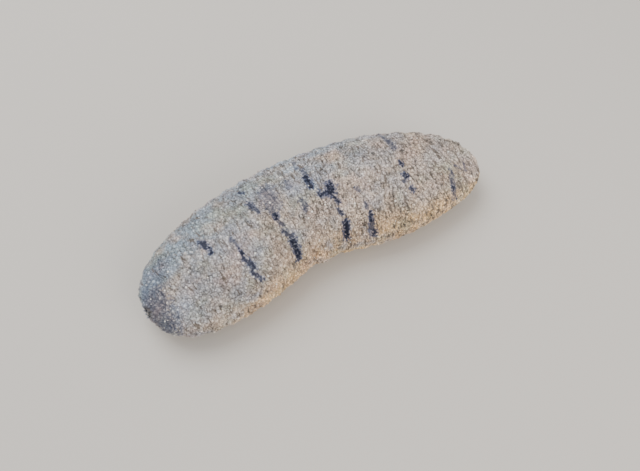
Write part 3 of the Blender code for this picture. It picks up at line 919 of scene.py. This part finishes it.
def spread_roots(add, given, tone_seed):
    """Nodes that spread the coat's roots over part of the skin, with their tones and places on the unwrap."""
    cover = add("GeometryNodeInputNamedAttribute", {"Name": given["Mask"]})
    covered = add("ShaderNodeMath", {0: cover, 1: given["Least cover"]}, operation="GREATER_THAN")
    spread = add(
        "GeometryNodeDistributePointsOnFaces",
        {
            "Mesh": given["Skin"],
            "Selection": covered,
            "Distance Min": given["Spacing"],
            "Density Max": DENSEST,
            "Seed": given["Seed"],
        },
        distribute_method="POISSON",
    )
    place = add("GeometryNodeInputNamedAttribute", {"Name": "body_place"}, data_type="FLOAT_VECTOR")
    station = add("ShaderNodeSeparateXYZ", {0: place})
    before = add("ShaderNodeMath", {0: station, 1: given["First station"]}, operation="LESS_THAN")
    after = add("ShaderNodeMath", {0: station, 1: given["Last station"]}, operation="GREATER_THAN")
    outside = add("ShaderNodeMath", {0: before, 1: after}, operation="ADD")
    roots = add("GeometryNodeDeleteGeometry", {"Geometry": spread, "Selection": outside}, domain="POINT")
    tone = add("FunctionNodeRandomValue", {"Min": -1.0, "Max": given["Palest"], "Seed": tone_seed})
    root = add("GeometryNodeInputNamedAttribute", {"Name": "OFBake"}, data_type="FLOAT_VECTOR")
    for name, kind, value in (("tone", "FLOAT", tone), ("root_place", "FLOAT_VECTOR", root)):
        stored = {"Geometry": roots, "Name": name, "Value": value}
        roots = add("GeometryNodeStoreNamedAttribute", stored, data_type=kind)
    roots = add("GeometryNodeRemoveAttribute", {"Geometry": roots, "Name": "OFBake"})
    return cover, roots, spread.outputs["Rotation"]


def coat_tree():
    """Stands closed shapes all over the skin, each leaning and sized a little differently."""
    tree, add, given = open_tree(
        "coat",
        {
            "Geometry": ("Skin",),
            "Object": ("Shape",),
            "Float": ("Spacing", "Radius", "Height", "First station", "Last station", *HABIT_NAMES),
            "String": ("Mask",),
            "Int": ("Seed",),
            "Material": ("Finish",),
        },
    )
    tone_seed, size_seed, turn_seed, lean_seed = (
        add("ShaderNodeMath", {0: given["Seed"], 1: step}, operation="ADD") for step in (1.0, 2.0, 3.0, 4.0)
    )
    cover, roots, out_of_skin = spread_roots(add, given, tone_seed)

    smaller = add("ShaderNodeMapRange", {"Value": cover, "To Min": given["Smallest"]})
    size = add("ShaderNodeMath", {0: vary(add, given, size_seed), 1: smaller}, operation="MULTIPLY")
    girth = add("ShaderNodeMath", {0: size, 1: given["Radius"]}, operation="MULTIPLY")
    length = add("ShaderNodeMath", {0: size, 1: given["Height"]}, operation="MULTIPLY")
    scale = add("ShaderNodeCombineXYZ", {"X": girth, "Y": girth, "Z": length})

    # Each shape turns about its own axis and leans. One that is upright on the floor also stands down to it.
    upright = given["Upright on floor"]
    turn = add("FunctionNodeRandomValue", {"Min": 0.0, "Max": FULL_TURN, "Seed": turn_seed})
    lean = add("FunctionNodeRandomValue", {"Min": 0.0, "Max": given["Lean"], "Seed": lean_seed})
    standing = add("ShaderNodeMix", {"Factor": upright, "A": out_of_skin}, data_type="ROTATION")
    for axis, angle in (((0, 0, 1), turn), ((1, 0, 0), lean)):
        turned = add("FunctionNodeAxisAngleToRotation", {"Axis": axis, "Angle": angle})
        both = {"Rotation": standing, "Rotate By": turned}
        standing = add("FunctionNodeRotateRotation", both, rotation_space="LOCAL")
    here = add("GeometryNodeInputPosition")
    drop = add("ShaderNodeSeparateXYZ", {0: here}).outputs["Z"]
    for factor in (upright, -1.0):
        drop = add("ShaderNodeMath", {0: drop, 1: factor}, operation="MULTIPLY")
    down = add("ShaderNodeCombineXYZ", {"Z": drop})
    lowered = add("GeometryNodeSetPosition", {"Geometry": roots, "Offset": down})
    coat = stand_shapes(add, given, lowered, standing, scale, COAT_UNEVENNESS)

    # The coat takes the markings and the painted light and shade of the skin under it, and its own patch of
    # the unwrap.
    for name in ("body_place", "tints", "marks"):
        field = add("GeometryNodeInputNamedAttribute", {"Name": name}, data_type="FLOAT_VECTOR")
        sampled = {"Mesh": given["Skin"], "Value": field, "Sample Position": here}
        under = add("GeometryNodeSampleNearestSurface", sampled, data_type="FLOAT_VECTOR")
        stored = {"Geometry": coat, "Name": name, "Value": under}
        coat = add("GeometryNodeStoreNamedAttribute", stored, data_type="FLOAT_VECTOR")
    own_root = add("GeometryNodeInputNamedAttribute", {"Name": "root_place"}, data_type="FLOAT_VECTOR")
    patch = add("GeometryNodeInputNamedAttribute", {"Name": "patch"}, data_type="FLOAT_VECTOR")
    laid_out = {0: patch, 1: (PATCH_WIDTH, PATCH_WIDTH, 0), 2: own_root}
    laid = add("ShaderNodeVectorMath", laid_out, operation="MULTIPLY_ADD")
    stored = {"Geometry": coat, "Name": "OFBake", "Value": laid}
    coat = add("GeometryNodeStoreNamedAttribute", stored, data_type="FLOAT2", domain="CORNER")
    for name in ("root_place", "patch", "coat", "soles"):
        coat = add("GeometryNodeRemoveAttribute", {"Geometry": coat, "Name": name})
    close_tree(add, given, coat)
    return tree


def ring_tree():
    """Stands shapes in a ring round the origin, each leaning outwards."""
    sizes = ("Ring radius", "First turn", "Size", "Size variety", "Unevenness", "Lean", "Lean variety")
    tree, add, given = open_tree(
        "ring",
        {
            "Geometry": ("Ground",),
            "Object": ("Shape",),
            "Float": sizes,
            "Int": ("Count", "Seed"),
            "Material": ("Finish",),
        },
    )
    circle = add("GeometryNodeMeshCircle", {"Vertices": given["Count"], "Radius": given["Ring radius"]})
    start = add("ShaderNodeCombineXYZ", {"Z": given["First turn"]})
    roots = add("GeometryNodeTransform", {"Geometry": circle, "Rotation": start})
    here = add("ShaderNodeSeparateXYZ", {0: add("GeometryNodeInputPosition")}).outputs
    bearing = add("ShaderNodeMath", {0: here["Y"], 1: here["X"]}, operation="ARCTAN2")
    facing = add("FunctionNodeAxisAngleToRotation", {"Axis": (0, 0, 1), "Angle": bearing})
    least, most = (
        add("ShaderNodeMath", {0: given["Lean"], 1: given["Lean variety"]}, operation=operation)
        for operation in ("SUBTRACT", "ADD")
    )
    lean = add("FunctionNodeRandomValue", {"Min": least, "Max": most, "Seed": given["Seed"]})
    leaning = add("FunctionNodeAxisAngleToRotation", {"Axis": (0, 1, 0), "Angle": lean})
    both = {"Rotation": facing, "Rotate By": leaning}
    standing = add("FunctionNodeRotateRotation", both, rotation_space="LOCAL")
    size_seed = add("ShaderNodeMath", {0: given["Seed"], 1: 1.0}, operation="ADD")
    varied = vary(add, given, size_seed)
    size = add("ShaderNodeMath", {0: varied, 1: given["Size"]}, operation="MULTIPLY")
    close_tree(add, given, stand_shapes(add, given, roots, standing, size, RING_UNEVENNESS))
    return tree


def grow(name, tree, ground, sizes):
    """Runs a node tree on a mesh with these sizes, and returns the result as a plain object."""
    obj = object_of(bpy.data.meshes.new(name))
    obj.data = ground
    modifier = obj.modifiers.new(tree.name, "NODES")
    modifier.node_group = tree
    for item in tree.interface.items_tree:
        if item.in_out == "INPUT" and item.name in sizes:
            modifier[item.identifier] = sizes[item.name]
    evaluated = obj.evaluated_get(bpy.context.evaluated_depsgraph_get())
    mesh = bpy.data.meshes.new_from_object(evaluated)
    obj.modifiers.clear()
    obj.data = mesh
    mesh.name = name
    return obj


def new_finish(name):
    """A material, the function that adds its nodes, and the function that feeds its shader."""
    material = bpy.data.materials.new(name)
    material.use_nodes = True
    tree = material.node_tree
    return material, partial(add_node, tree), partial(feed, tree, tree.nodes["Principled BSDF"])


def drift(add, colour, point, station, off_sole):
    """Drifts of colour from 16 mm down to 1 mm wide turn the hide bluer, browner, greener or pinker."""
    place = add("ShaderNodeVectorMath", {0: point, 1: DRIFT_START}, operation="ADD")
    waves = {"Vector": place, "Scale": DRIFTS_PER_METRE, "Detail": 4.2, "Roughness": 0.62}
    noise = add("ShaderNodeTexNoise", waves).outputs["Color"]
    split = add("ShaderNodeSeparateColor", {0: noise}).outputs
    # Blue fades towards the front.
    blueness = add("ShaderNodeMapRange", ranged(station, BLUE_FADE))
    for result, limits, shade in DRIFTS:
        share = add("ShaderNodeMapRange", ranged(split[result], limits))
        for factor in (off_sole, blueness if shade == DRIFT_BLUE else 1.0):
            share = add("ShaderNodeMath", {0: share, 1: factor}, operation="MULTIPLY")
        colour = add("ShaderNodeMix", {"Factor": share, "A": colour, "B": linear(shade)}, data_type="RGBA")
    return colour


def shade_gaps_light_tips(add, colour, tip, tone):
    """Painted shade darkens the gaps between granules, and painted highlight, scaled by each granule's own
    paleness, pales the tips of the pale ones.
    """
    shaded = {"Factor": 1.0, "A": colour, "B": linear(GAP_PAINTED_SHADE)}
    gap_shade = add("ShaderNodeMix", shaded, data_type="RGBA", blend_type="MULTIPLY")
    raised, crest_highlight = (
        add("ShaderNodeMapRange", ranged(tip, limits), interpolation_type="SMOOTHSTEP")
        for limits in (TIP_RISE, TIP_CREST_HIGHLIGHT)
    )
    toned = {0: tone, 1: TIP_TONE_SHARE, 2: TIP_BASE_SHARE}
    pale = add("ShaderNodeMath", toned, operation="MULTIPLY_ADD", use_clamp=True)
    crest_highlight = add("ShaderNodeMath", {0: crest_highlight, 1: pale}, operation="MULTIPLY")
    colour = add("ShaderNodeMix", {"Factor": raised, "A": gap_shade, "B": colour}, data_type="RGBA")
    colour = add("ShaderNodeMix", {"Factor": crest_highlight, "A": colour, "B": linear(TIP_PALE_AND_HIGHLIGHT)}, data_type="RGBA")
    return raised, colour


def shade_creases(add, colour, body, off_sole):
    """Painted shade of the fine wrinkles lies across the body as dashes of 1.2 by 3 mm and creases of 1.4 by
    7 mm, and slants at the front.
    """
    station, sideways, height = body
    slant = add("ShaderNodeMapRange", ranged(station, CREASE_SLANT))
    slid = add("ShaderNodeMath", {0: sideways, 1: slant, 2: station}, operation="MULTIPLY_ADD")
    across = add("ShaderNodeCombineXYZ", {"X": slid, "Y": sideways, "Z": height})
    dash_place, crease_place = (
        add("ShaderNodeVectorMath", {0: across, 1: waves}, operation="MULTIPLY")
        for waves in (DASHES_PER_MM, CREASES_PER_MM)
    )

    # Dashes are fainter over the rear.
    noise = add("ShaderNodeTexNoise", {"Vector": dash_place, "Scale": 1.0, "Detail": 3.0})
    dash_shade = add("ShaderNodeMapRange", ranged(noise, DASH_DARKNESS), interpolation_type="SMOOTHSTEP")
    for factor in (add("ShaderNodeMapRange", ranged(station, DASH_STATIONS)), off_sole):
        dash_shade = add("ShaderNodeMath", {0: dash_shade, 1: factor}, operation="MULTIPLY")

    # Creases are most at the front.
    waves = {"Vector": crease_place, "Scale": 1.0, "Detail": 2.0, "Distortion": 0.3}
    noise = add("ShaderNodeTexNoise", waves)
    edge = add("ShaderNodeMapRange", ranged(station, CREASE_ONSET))
    core = add("ShaderNodeMath", {0: edge, 1: -CREASE_SOFTNESS}, operation="ADD")
    dark = ranged(noise, (edge, core, 0.0, CREASE_DARKNESS))
    crease_shade = add("ShaderNodeMapRange", dark, interpolation_type="SMOOTHSTEP")
    crease_shade = add("ShaderNodeMath", {0: crease_shade, 1: off_sole}, operation="MULTIPLY")

    for share, shade in ((dash_shade, DASH_PAINTED_SHADE), (crease_shade, CREASE_PAINTED_SHADE)):
        colour = add("ShaderNodeMix", {"Factor": share, "A": colour, "B": linear(shade)}, data_type="RGBA")
    return colour


def light_and_dark(add, colour, place, station, tone, grain):
    """Light varies over 14 mm blotches, mottles of 3 by 5 mm, grain of 0.8 mm, and between granules."""
    start = add("ShaderNodeVectorMath", {0: place, 1: BLOTCH_START}, operation="ADD")
    waves = {"Vector": start, "Scale": BLOTCHES_PER_MM, "Detail": 2.0, "Roughness": 0.6}
    blotch = add("ShaderNodeTexNoise", waves)
    drawn = add("ShaderNodeVectorMath", {0: place, 1: MOTTLES_PER_MM}, operation="MULTIPLY")
    mottle = add("ShaderNodeTexNoise", {"Vector": drawn, "Scale": 1.0, "Detail": 2.0, "Distortion": 0.4})
    light = BASE_LIGHT
    for pattern, share in (
        (blotch, BLOTCH_SHARE),
        (mottle, MOTTLE_SHARE),
        (grain, GRAIN_SHARE),
        (tone, TONE_SHARE),
    ):
        light = add("ShaderNodeMath", {0: pattern, 1: share, 2: light}, operation="MULTIPLY_ADD")
    # The front is paler than the rear.
    paling = add("ShaderNodeMapRange", ranged(station, LENGTH_LIGHT), interpolation_type="SMOOTHSTEP")
    light = add("ShaderNodeMath", {0: light, 1: paling}, operation="MULTIPLY")
    return add("ShaderNodeVectorMath", {0: colour, "Scale": light}, operation="SCALE")


def dot_sole(add, colour, point, sole):
    """The sole has small brown dots, about 0.8 mm wide."""
    speck = add("ShaderNodeTexVoronoi", {"Vector": point, "Scale": SOLE_DOTS_PER_METRE, "Randomness": 1.0})
    dot = add("ShaderNodeMapRange", ranged(speck, DOT_DARKNESS), interpolation_type="SMOOTHSTEP")
    dot = add("ShaderNodeMath", {0: dot, 1: sole}, operation="MULTIPLY")
    return add("ShaderNodeMix", {"Factor": dot, "A": colour, "B": linear(SOLE_DOT)}, data_type="RGBA")


def draw_marks(add, colour, place, tone, inside, darkness):
    """Marks are blue-black with a blue-grey rim, and noise and pale granules break them up."""
    noise = add("ShaderNodeTexNoise", {"Vector": place, "Scale": MARK_BREAKS_PER_MM, "Detail": 3.0})
    inside = add("ShaderNodeMath", {0: noise, 1: MARK_UNEVENNESS, 2: inside}, operation="MULTIPLY_ADD")
    inside = add("ShaderNodeMath", {0: tone, 1: -MARK_TONE_SHARE, 2: inside}, operation="MULTIPLY_ADD")
    for limits, shade in ((RIM_DARKNESS, MARK_RIM), (CORE_DARKNESS, MARK_CORE)):
        share = add("ShaderNodeMapRange", ranged(inside, limits), interpolation_type="SMOOTHSTEP")
        share = add("ShaderNodeMath", {0: share, 1: darkness}, operation="MULTIPLY")
        colour = add("ShaderNodeMix", {"Factor": share, "A": colour, "B": linear(shade)}, data_type="RGBA")
    return colour


def granular_hide():
    """Sandfish hide: a thick moist body wall, finely granular, grey and tan with broken blue-black bars.

    To the eye it is satin and uneven: pale granule tips, partly painted highlight, stand over gaps darkened
    by painted shade.
    """
    material, add, feed_shader = new_finish("sandfish_hide")
    place, tints, marks = (
        add("ShaderNodeAttribute", attribute_name=name).outputs["Vector"]
        for name in ("body_place", "tints", "marks")
    )
    tip, tone = (add("ShaderNodeAttribute", attribute_name=name).outputs["Fac"] for name in ("tip", "tone"))
    point = add("ShaderNodeTexCoord").outputs["Object"]
    body = add("ShaderNodeSeparateXYZ", {0: place}).outputs
    sky_reflection, cream_and_near_light, sole = add("ShaderNodeSeparateXYZ", {0: tints}).outputs
    inside, darkness, pit_shade = add("ShaderNodeSeparateXYZ", {0: marks}).outputs
    off_sole = add("ShaderNodeMath", {0: sole, 1: -SOLE_PLAINNESS, 2: 1.0}, operation="MULTIPLY_ADD")
    grain = add("ShaderNodeTexNoise", {"Vector": point, "Scale": GRAINS_PER_METRE, "Detail": 2.0})

    colour = linear(TAN)
    # Painted sky reflection blues the tail and the far side, and the flanks' cream carries painted light on
    # the near side's front.
    for share, shade in ((sky_reflection, SKY_REFLECTION_GREY), (cream_and_near_light, FLANK_CREAM_AND_NEAR_LIGHT), (sole, SOLE_CREAM)):
        colour = add("ShaderNodeMix", {"Factor": share, "A": colour, "B": linear(shade)}, data_type="RGBA")
    colour = drift(add, colour, point, body[0], off_sole)
    # Painted shade in the gaps and painted highlight on the tips.
    raised, colour = shade_gaps_light_tips(add, colour, tip, tone)
    colour = shade_creases(add, colour, body, off_sole)
    colour = light_and_dark(add, colour, place, body[0], tone, grain)
    colour = dot_sole(add, colour, point, sole)
    colour = draw_marks(add, colour, place, tone, inside, darkness)
    # One granule or tube foot in a hundred, but no papilla, is nearly white. Inside the vent and the mouth,
    # painted shade darkens the hide to brown.
    rare = add("ShaderNodeMath", {0: tone, 1: PALE_GRAIN_TONE}, operation="GREATER_THAN")
    rare = add("ShaderNodeMath", {0: rare, 1: raised}, operation="MULTIPLY")
    for share, shade in ((rare, PALE_GRAIN), (pit_shade, PIT_PAINTED_SHADE)):
        colour = add("ShaderNodeMix", {"Factor": share, "A": colour, "B": linear(shade)}, data_type="RGBA")

    fine = add("ShaderNodeTexNoise", {"Vector": point, "Scale": FINE_GRAINS_PER_METRE, "Detail": 2.0})
    feed_shader(
        {
            "Base Color": colour,
            "Roughness": add("ShaderNodeMapRange", ranged(grain, HIDE_ROUGHNESS)),
            "Normal": add("ShaderNodeBump", {"Strength": 0.5, "Distance": 0.00015, "Height": fine}),
            "IOR": 1.4,
            "Coat Weight": 0.12,
            "Coat Roughness": 0.3,
        }
    )
    return material


def tentacle_hide():
    """Sandfish mouth skin: thin, wet and smooth, brown-grey with paler lobes on the tentacles' shields.

    To the eye it is softly glossy, with brown freckles.
    """
    material, add, feed_shader = new_finish("tentacle_hide")
    tip = add("ShaderNodeAttribute", attribute_name="tip").outputs["Fac"]
    point = add("ShaderNodeTexCoord").outputs["Object"]
    freckle = add("ShaderNodeTexNoise", {"Vector": point, "Scale": FRECKLES_PER_METRE, "Detail": 3.0})
    centred = {0: freckle, 1: FRECKLE_SHARE, 2: -FRECKLE_SHARE / 2}
    paling = add("ShaderNodeMath", centred, operation="MULTIPLY_ADD")
    paling = add("ShaderNodeMath", {0: tip, 1: paling}, operation="ADD", use_clamp=True)
    shades = {"Factor": paling, "A": linear(TENTACLE_BROWN), "B": linear(TENTACLE_PALE)}
    feed_shader(
        {
            "Base Color": add("ShaderNodeMix", shades, data_type="RGBA"),
            "Roughness": add("ShaderNodeMapRange", ranged(freckle, MOUTH_ROUGHNESS)),
            "Normal": add("ShaderNodeBump", {"Strength": 0.4, "Distance": 0.0001, "Height": freckle}),
            "IOR": 1.4,
            "Coat Weight": 0.2,
            "Coat Roughness": 0.2,
        }
    )
    return material


def grow_coat(skin, hide):
    """Papillae and granules on the back and flanks, and tube feet under the sole."""
    tree = coat_tree()
    shapes = {
        "papilla": round_shape("papilla", PAPILLA, PAPILLA_SIDES),
        "granule": round_shape("granule", GRANULE, GRANULE_SIDES),
        "tube_foot": round_shape("tube_foot", TUBE_FOOT, TUBE_FOOT_SIDES),
    }
    pieces = []
    for name, shape, spacing, radius, height, first, last in COAT_PIECES:
        mask, seed, habits = COAT_HABITS[shape]
        sizes = {
            **dict(zip(HABIT_NAMES, habits)),
            "Shape": shapes[shape],
            "Mask": mask,
            "Seed": seed,
            "Spacing": spacing * MM,
            "Radius": radius * MM,
            "Height": height * MM,
            "First station": float(first),
            "Last station": float(last),
            "Finish": hide,
        }
        sizes["Unevenness"] = sizes["Unevenness"] * height * MM
        pieces.append(grow(name, tree, skin.data, sizes))
    for shape in shapes.values():
        bpy.data.objects.remove(shape, do_unlink=True)
    return pieces


def at_mouth():
    """The frame of the mouth's middle on the floor."""
    place = section_points(np.array([MOUTH_STATION / SPINE_LENGTH]), np.zeros(1))[0]
    return Matrix.Translation((place[0], place[1], 0))


def at_vent():
    """The frame of the vent's middle, with +Z straight out of the end face."""
    heading = tail_heading()
    heights = VENT_HEIGHT + VENT_RIM_RADIUS * np.array((-1, 0, 1))
    low, middle, high = end_face_stations(np.zeros(3), heights)
    place = bend_to_spine(np.array([[middle, 0, VENT_HEIGHT]]))[0]
    slope = (high - low) / (2 * VENT_RIM_RADIUS)
    outwards = Vector((-math.cos(heading), -math.sin(heading), slope))
    return Matrix.Translation(place) @ outwards.to_track_quat("Z", "Y").to_matrix().to_4x4()


def raise_front(mesh):
    """Bends the crown up towards the front, where the underside rises."""
    points = np.empty(3 * len(mesh.vertices), dtype=np.float32)
    mesh.vertices.foreach_get("co", points)
    points = points.reshape(-1, 3)
    from_middle = points[:, :2] - np.array(at_mouth().translation)[:2]
    ahead = from_middle @ (math.cos(mouth_heading()), math.sin(mouth_heading()))
    points[:, 2] += CROWN_RISE * (ahead + np.hypot(ahead, CROWN_BEND)) / 2
    mesh.vertices.foreach_set("co", points.ravel())
    mesh.update()


def take_markings_and_shade(mesh, skin):
    """Gives each point of a mesh the markings and the painted light and shade of the skin's nearest point."""
    tree = KDTree(len(skin.vertices))
    for vertex in skin.vertices:
        tree.insert(vertex.co, vertex.index)
    tree.balance()
    nearest = [tree.find(vertex.co)[1] for vertex in mesh.vertices]
    for name in ("body_place", "tints", "marks"):
        values = np.empty(3 * len(skin.vertices), dtype=np.float32)
        skin.attributes[name].data.foreach_get("vector", values)
        put_attribute(mesh, name, "FLOAT_VECTOR", values.reshape(-1, 3)[nearest])


def grow_rings(skin, hide, mouth_hide):
    """The crown of tentacles round the mouth, and the small papillae round the vent."""
    tree = ring_tree()
    tentacle = round_shape("tentacle", TENTACLE, TENTACLE_SIDES, TENTACLE_LOBES)
    papilla = round_shape("papilla", PAPILLA, PAPILLA_SIDES)
    ground = bpy.data.meshes.new("ground")
    tentacle_roots = at_mouth() @ Matrix.Translation((0, 0, TENTACLE_ROOT_HEIGHT))
    pieces = []
    for ring, shape, finish, place in (
        (OUTER_TENTACLES, tentacle, mouth_hide, tentacle_roots),
        (INNER_TENTACLES, tentacle, mouth_hide, tentacle_roots),
        (ANAL_PAPILLAE, papilla, hide, at_vent()),
    ):
        name, count, ring_radius, size, lean, first_turn = ring
        sizes = {
            "Shape": shape,
            "Count": count,
            "Ring radius": ring_radius * MM,
            "Size": size * MM,
            "Size variety": RING_SIZE_VARIETY,
            "Lean": math.radians(lean),
            "Lean variety": math.radians(RING_LEAN_VARIETY),
            "Unevenness": RING_ROUGHNESS * size * MM,
            "First turn": math.radians(first_turn),
            "Seed": RING_SEED + count,
            "Finish": finish,
        }
        piece = grow(name, tree, ground, sizes)
        piece.data.transform(place)
        pieces.append(piece)
    for shape in (tentacle, papilla):
        bpy.data.objects.remove(shape, do_unlink=True)
    *tentacles, anal_papillae = pieces
    take_markings_and_shade(anal_papillae.data, skin.data)
    profile = [(radius * MM, height * MM, paleness, lobing) for radius, height, paleness, lobing in PERISTOME]
    peristome = round_shape("peristome", profile, PERISTOME_SIDES, PERISTOME_LOBES)
    peristome.data.transform(at_mouth())
    peristome.data.materials.append(mouth_hide)
    crown = [peristome, *tentacles]
    for piece in crown:
        raise_front(piece.data)
    return crown, anal_papillae


def add_floor():
    """A plain pale floor just under the tube feet."""
    mesh = bpy.data.meshes.new("floor")
    corners = ((-1, -1), (1, -1), (1, 1), (-1, 1))
    points = [(x * FLOOR_REACH, y * FLOOR_REACH, FLOOR_LEVEL) for x, y in corners]
    mesh.from_pydata(points, [], [(0, 1, 2, 3)])
    material, _, feed_shader = new_finish("plain_floor")
    feed_shader({"Base Color": linear(FLOOR_GREY), "Roughness": 0.85})
    mesh.materials.append(material)
    floor = object_of(mesh)


def light_studio():
    """Two wide soft lamps in an evenly lit pale room."""
    for name, place, watts, width, colour in LAMPS:
        lamp = bpy.data.lights.new(name, "AREA")
        lamp.energy = watts
        lamp.shape = "DISK"
        lamp.size = width
        lamp.color = linear(colour)[:3]
        obj = bpy.data.objects.new(name, lamp)
        bpy.context.scene.collection.objects.link(obj)
        towards_model = (-Vector(place)).to_track_quat("-Z", "Y").to_matrix().to_4x4()
        obj.matrix_world = Matrix.Translation(place) @ towards_model
    world = bpy.data.worlds.new("studio")
    bpy.context.scene.world = world
    world.use_nodes = True
    background = world.node_tree.nodes["Background"]
    feed(world.node_tree, background, {"Color": linear(STUDIO_GREY), "Strength": STUDIO_STRENGTH})


def add_camera():
    """The camera at the photo's angle, drawn aside and down so that the animal lies where it does there."""
    azimuth, elevation = math.radians(CAMERA_AZIMUTH), math.radians(CAMERA_ELEVATION)
    level = math.cos(elevation)
    back = Vector((math.sin(azimuth) * level, -math.cos(azimuth) * level, math.sin(elevation)))
    right = Vector((math.cos(azimuth), math.sin(azimuth), 0))
    up = back.cross(right)
    place = Vector(CAMERA_TARGET) + CAMERA_DISTANCE * back + CAMERA_ASIDE * right - CAMERA_BELOW * up
    lens = bpy.data.cameras.new("camera")
    lens.lens = CAMERA_LENS
    lens.clip_start = 0.01
    camera = bpy.data.objects.new("camera", lens)
    bpy.context.scene.collection.objects.link(camera)
    camera.matrix_world = Matrix.Translation(place) @ back.to_track_quat("Z", "Y").to_matrix().to_4x4()
    bpy.context.scene.camera = camera


def main():
    """Makes the animal's pieces and the studio, attaches each piece to the body's root, and hides the
    imported solids that the pieces stand in for.
    """
    hide = granular_hide()
    mouth_hide = tentacle_hide()
    skin = make_skin(hide)
    coat = grow_coat(skin, hide)
    crown, anal_papillae = grow_rings(skin, hide, mouth_hide)
    for piece in (skin, anal_papillae, *coat):
        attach(piece, "root")
    for piece in crown:
        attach(piece, "root")
        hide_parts("oral_tentacles")
    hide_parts("anal_end", "trunk_rear", "trunk_middle", "trunk_front", "mouth_end")
    add_floor()
    light_studio()
    add_camera()


main()
